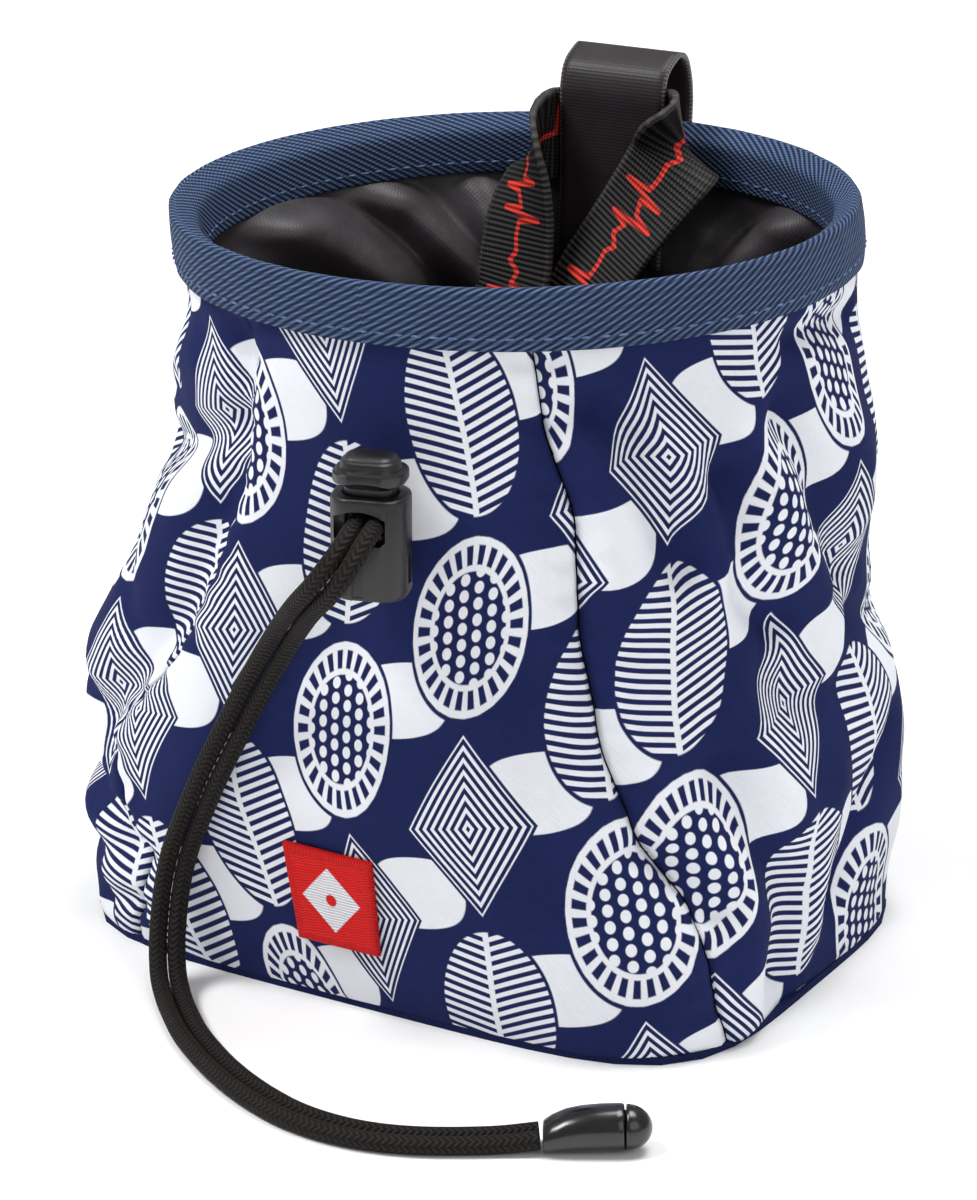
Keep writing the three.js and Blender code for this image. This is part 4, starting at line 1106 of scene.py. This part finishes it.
def arched_tunnel(width, low, high, arch, shift=0.0, corner=0.0):
    """A tunnel from front to back, flat below and arched above, to be carved from the lock."""
    deep = LOCK_SIZE[1]
    shape = bmesh.new()
    corners = [(-width / 2 + corner, low), (width / 2 - corner, low), (width / 2, low + corner)]
    steps = 20
    for i in range(steps + 1):
        x = width / 2 - width * i / steps
        corners.append((x, high - arch * (2 * x / width) ** 2))
    if corner:
        corners.append((-width / 2, low + corner))
    else:
        corners.pop(2)
    ring = [shape.verts.new((x + shift, -deep, z)) for x, z in corners]
    face = shape.faces.new(ring)
    pushed = bmesh.ops.extrude_face_region(shape, geom=[face])
    moved = [g for g in pushed["geom"] if isinstance(g, bmesh.types.BMVert)]
    bmesh.ops.translate(shape, verts=moved, vec=(0, deep * 2, 0))
    bmesh.ops.recalc_face_normals(shape, faces=shape.faces)
    bmesh.ops.transform(shape, matrix=lock_frame(), verts=shape.verts)
    return shape


def block_shape(low, high):
    """A plain block between two corners in the lock's own place."""
    low, high = Vector(low), Vector(high)
    shape = bmesh.new()
    bmesh.ops.create_cube(shape, size=1.0, matrix=Matrix.Translation((low + high) / 2)
                          @ Matrix.Diagonal((*(high - low), 1)))
    bmesh.ops.transform(shape, matrix=lock_frame(), verts=shape.verts)
    return shape


def add_lock():
    width, depth, height = LOCK_SIZE
    barrel_rows = [LockRow(*row) for row in (
        (0, 3.4), (0, 1.0), (0.2, 0.5), (0.7, 0.12), (1.4, 0), (height - 0.9, 0), (height - 0.35, 0.14),
        (height - 0.08, 0.42), (height, 0.8), (height, 1.8), (height - 0.3, LOCK_WALL), (2.5, LOCK_WALL),
        (LOCK_WALL, 2.5), (LOCK_WALL, 3.4))]
    barrel = piece("lock_body", rounded_tube(barrel_rows), hard_plastic,
                   ("lock_barrel",))
    # The window for the strands, the notch under it, the step in the front and a slot in each side
    carve(barrel, arched_tunnel(10.4, 11.5, 18.3, 1.5, shift=-1, corner=1.0))
    carve(barrel, block_shape((-1.3, -depth, 10.2), (0.5, 0, 11.8)))
    carve(barrel, block_shape((-2.4, -depth, 0.9), (-0.2, -depth / 2 + 0.28, 10.2)))
    for side in (-1, 1):
        carve(barrel, block_shape((side * width / 2 - 0.5, -1.0, 2.6), (side * width / 2 + 0.5, 1.0, 8.4)))
    crisp(barrel)

    base = height + PLUNGER_TRAVEL + SEAM_GAP
    head_rows = [LockRow(*row) for row in (
        (4.4, 4), (4.4, 2.45), (base, 2.45), (base, 0.9), (base + 0.15, 0.55), (base + 0.5, 0.4),
        (base + 2.0, 0.4), (base + 2.35, 0.6), (base + 2.5, 1.0), (base + 2.6, 1.5), (base + 2.8, 1.65),
        (base + 3.5, 1.7), (base + 4.1, 1.9), (base + 4.3, 2.3), (base + 4.4, 2.5), (base + 4.7, 2.5),
        (base + 5.0, 2.9), (base + 5.25, 3.6), (base + 5.4, 4.6))]
    plunger = piece("plunger_button", rounded_tube(head_rows), hard_plastic,
                    ("lock_plunger",), PLUNGER)
    # The eye that the strands pass through, and the hollow under the head
    half = (CORD_SPACING + CORD_DIAMETER + 0.7) / 2
    carve(plunger, block_shape((-half, -depth, 12.85), (half, depth, 19.15)))
    carve(plunger, arched_tunnel(11.6, base - 1.0, base + 0.85, 1.05))
    crisp(plunger)


add_lock()
dress("belt_clasp", hard_plastic)


def add_studio():
    scene = bpy.context.scene
    floor_shape = bmesh.new()
    bmesh.ops.create_grid(floor_shape, x_segments=1, y_segments=1, size=3.0)
    floor_mesh = bpy.data.meshes.new("studio_floor")
    floor_shape.to_mesh(floor_mesh)
    floor_shape.free()
    floor = bpy.data.objects.new("studio_floor", floor_mesh)
    scene.collection.objects.link(floor)
    paper = Finish("studio_paper", Roughness=0.9, Base_Color=(0.94, 0.94, 0.94, 1))
    floor_mesh.materials.append(paper.material)

    world = bpy.data.worlds.new("studio_air")
    world.use_nodes = True
    world.node_tree.nodes["Background"].inputs["Color"].default_value = (1, 1, 1, 1)
    world.node_tree.nodes["Background"].inputs["Strength"].default_value = 0.36
    scene.world = world
    scene.view_settings.view_transform = "Standard"

    for name, spot, size, watts in (
            ("key_light", (-0.85, -0.55, 1.5), 0.6, 24),
            ("fill_light", (1.4, -0.8, 1.0), 1.2, 6),
            ("top_light", (0.25, 0.35, 1.6), 0.8, 19)):
        lamp = bpy.data.lights.new(name, "AREA")
        lamp.size = size
        lamp.energy = watts
        holder = bpy.data.objects.new(name, lamp)
        scene.collection.objects.link(holder)
        holder.location = spot
        holder.rotation_euler = (Vector((0, 0, 0.07)) - Vector(spot)).to_track_quat("-Z", "Y").to_euler()


add_studio()
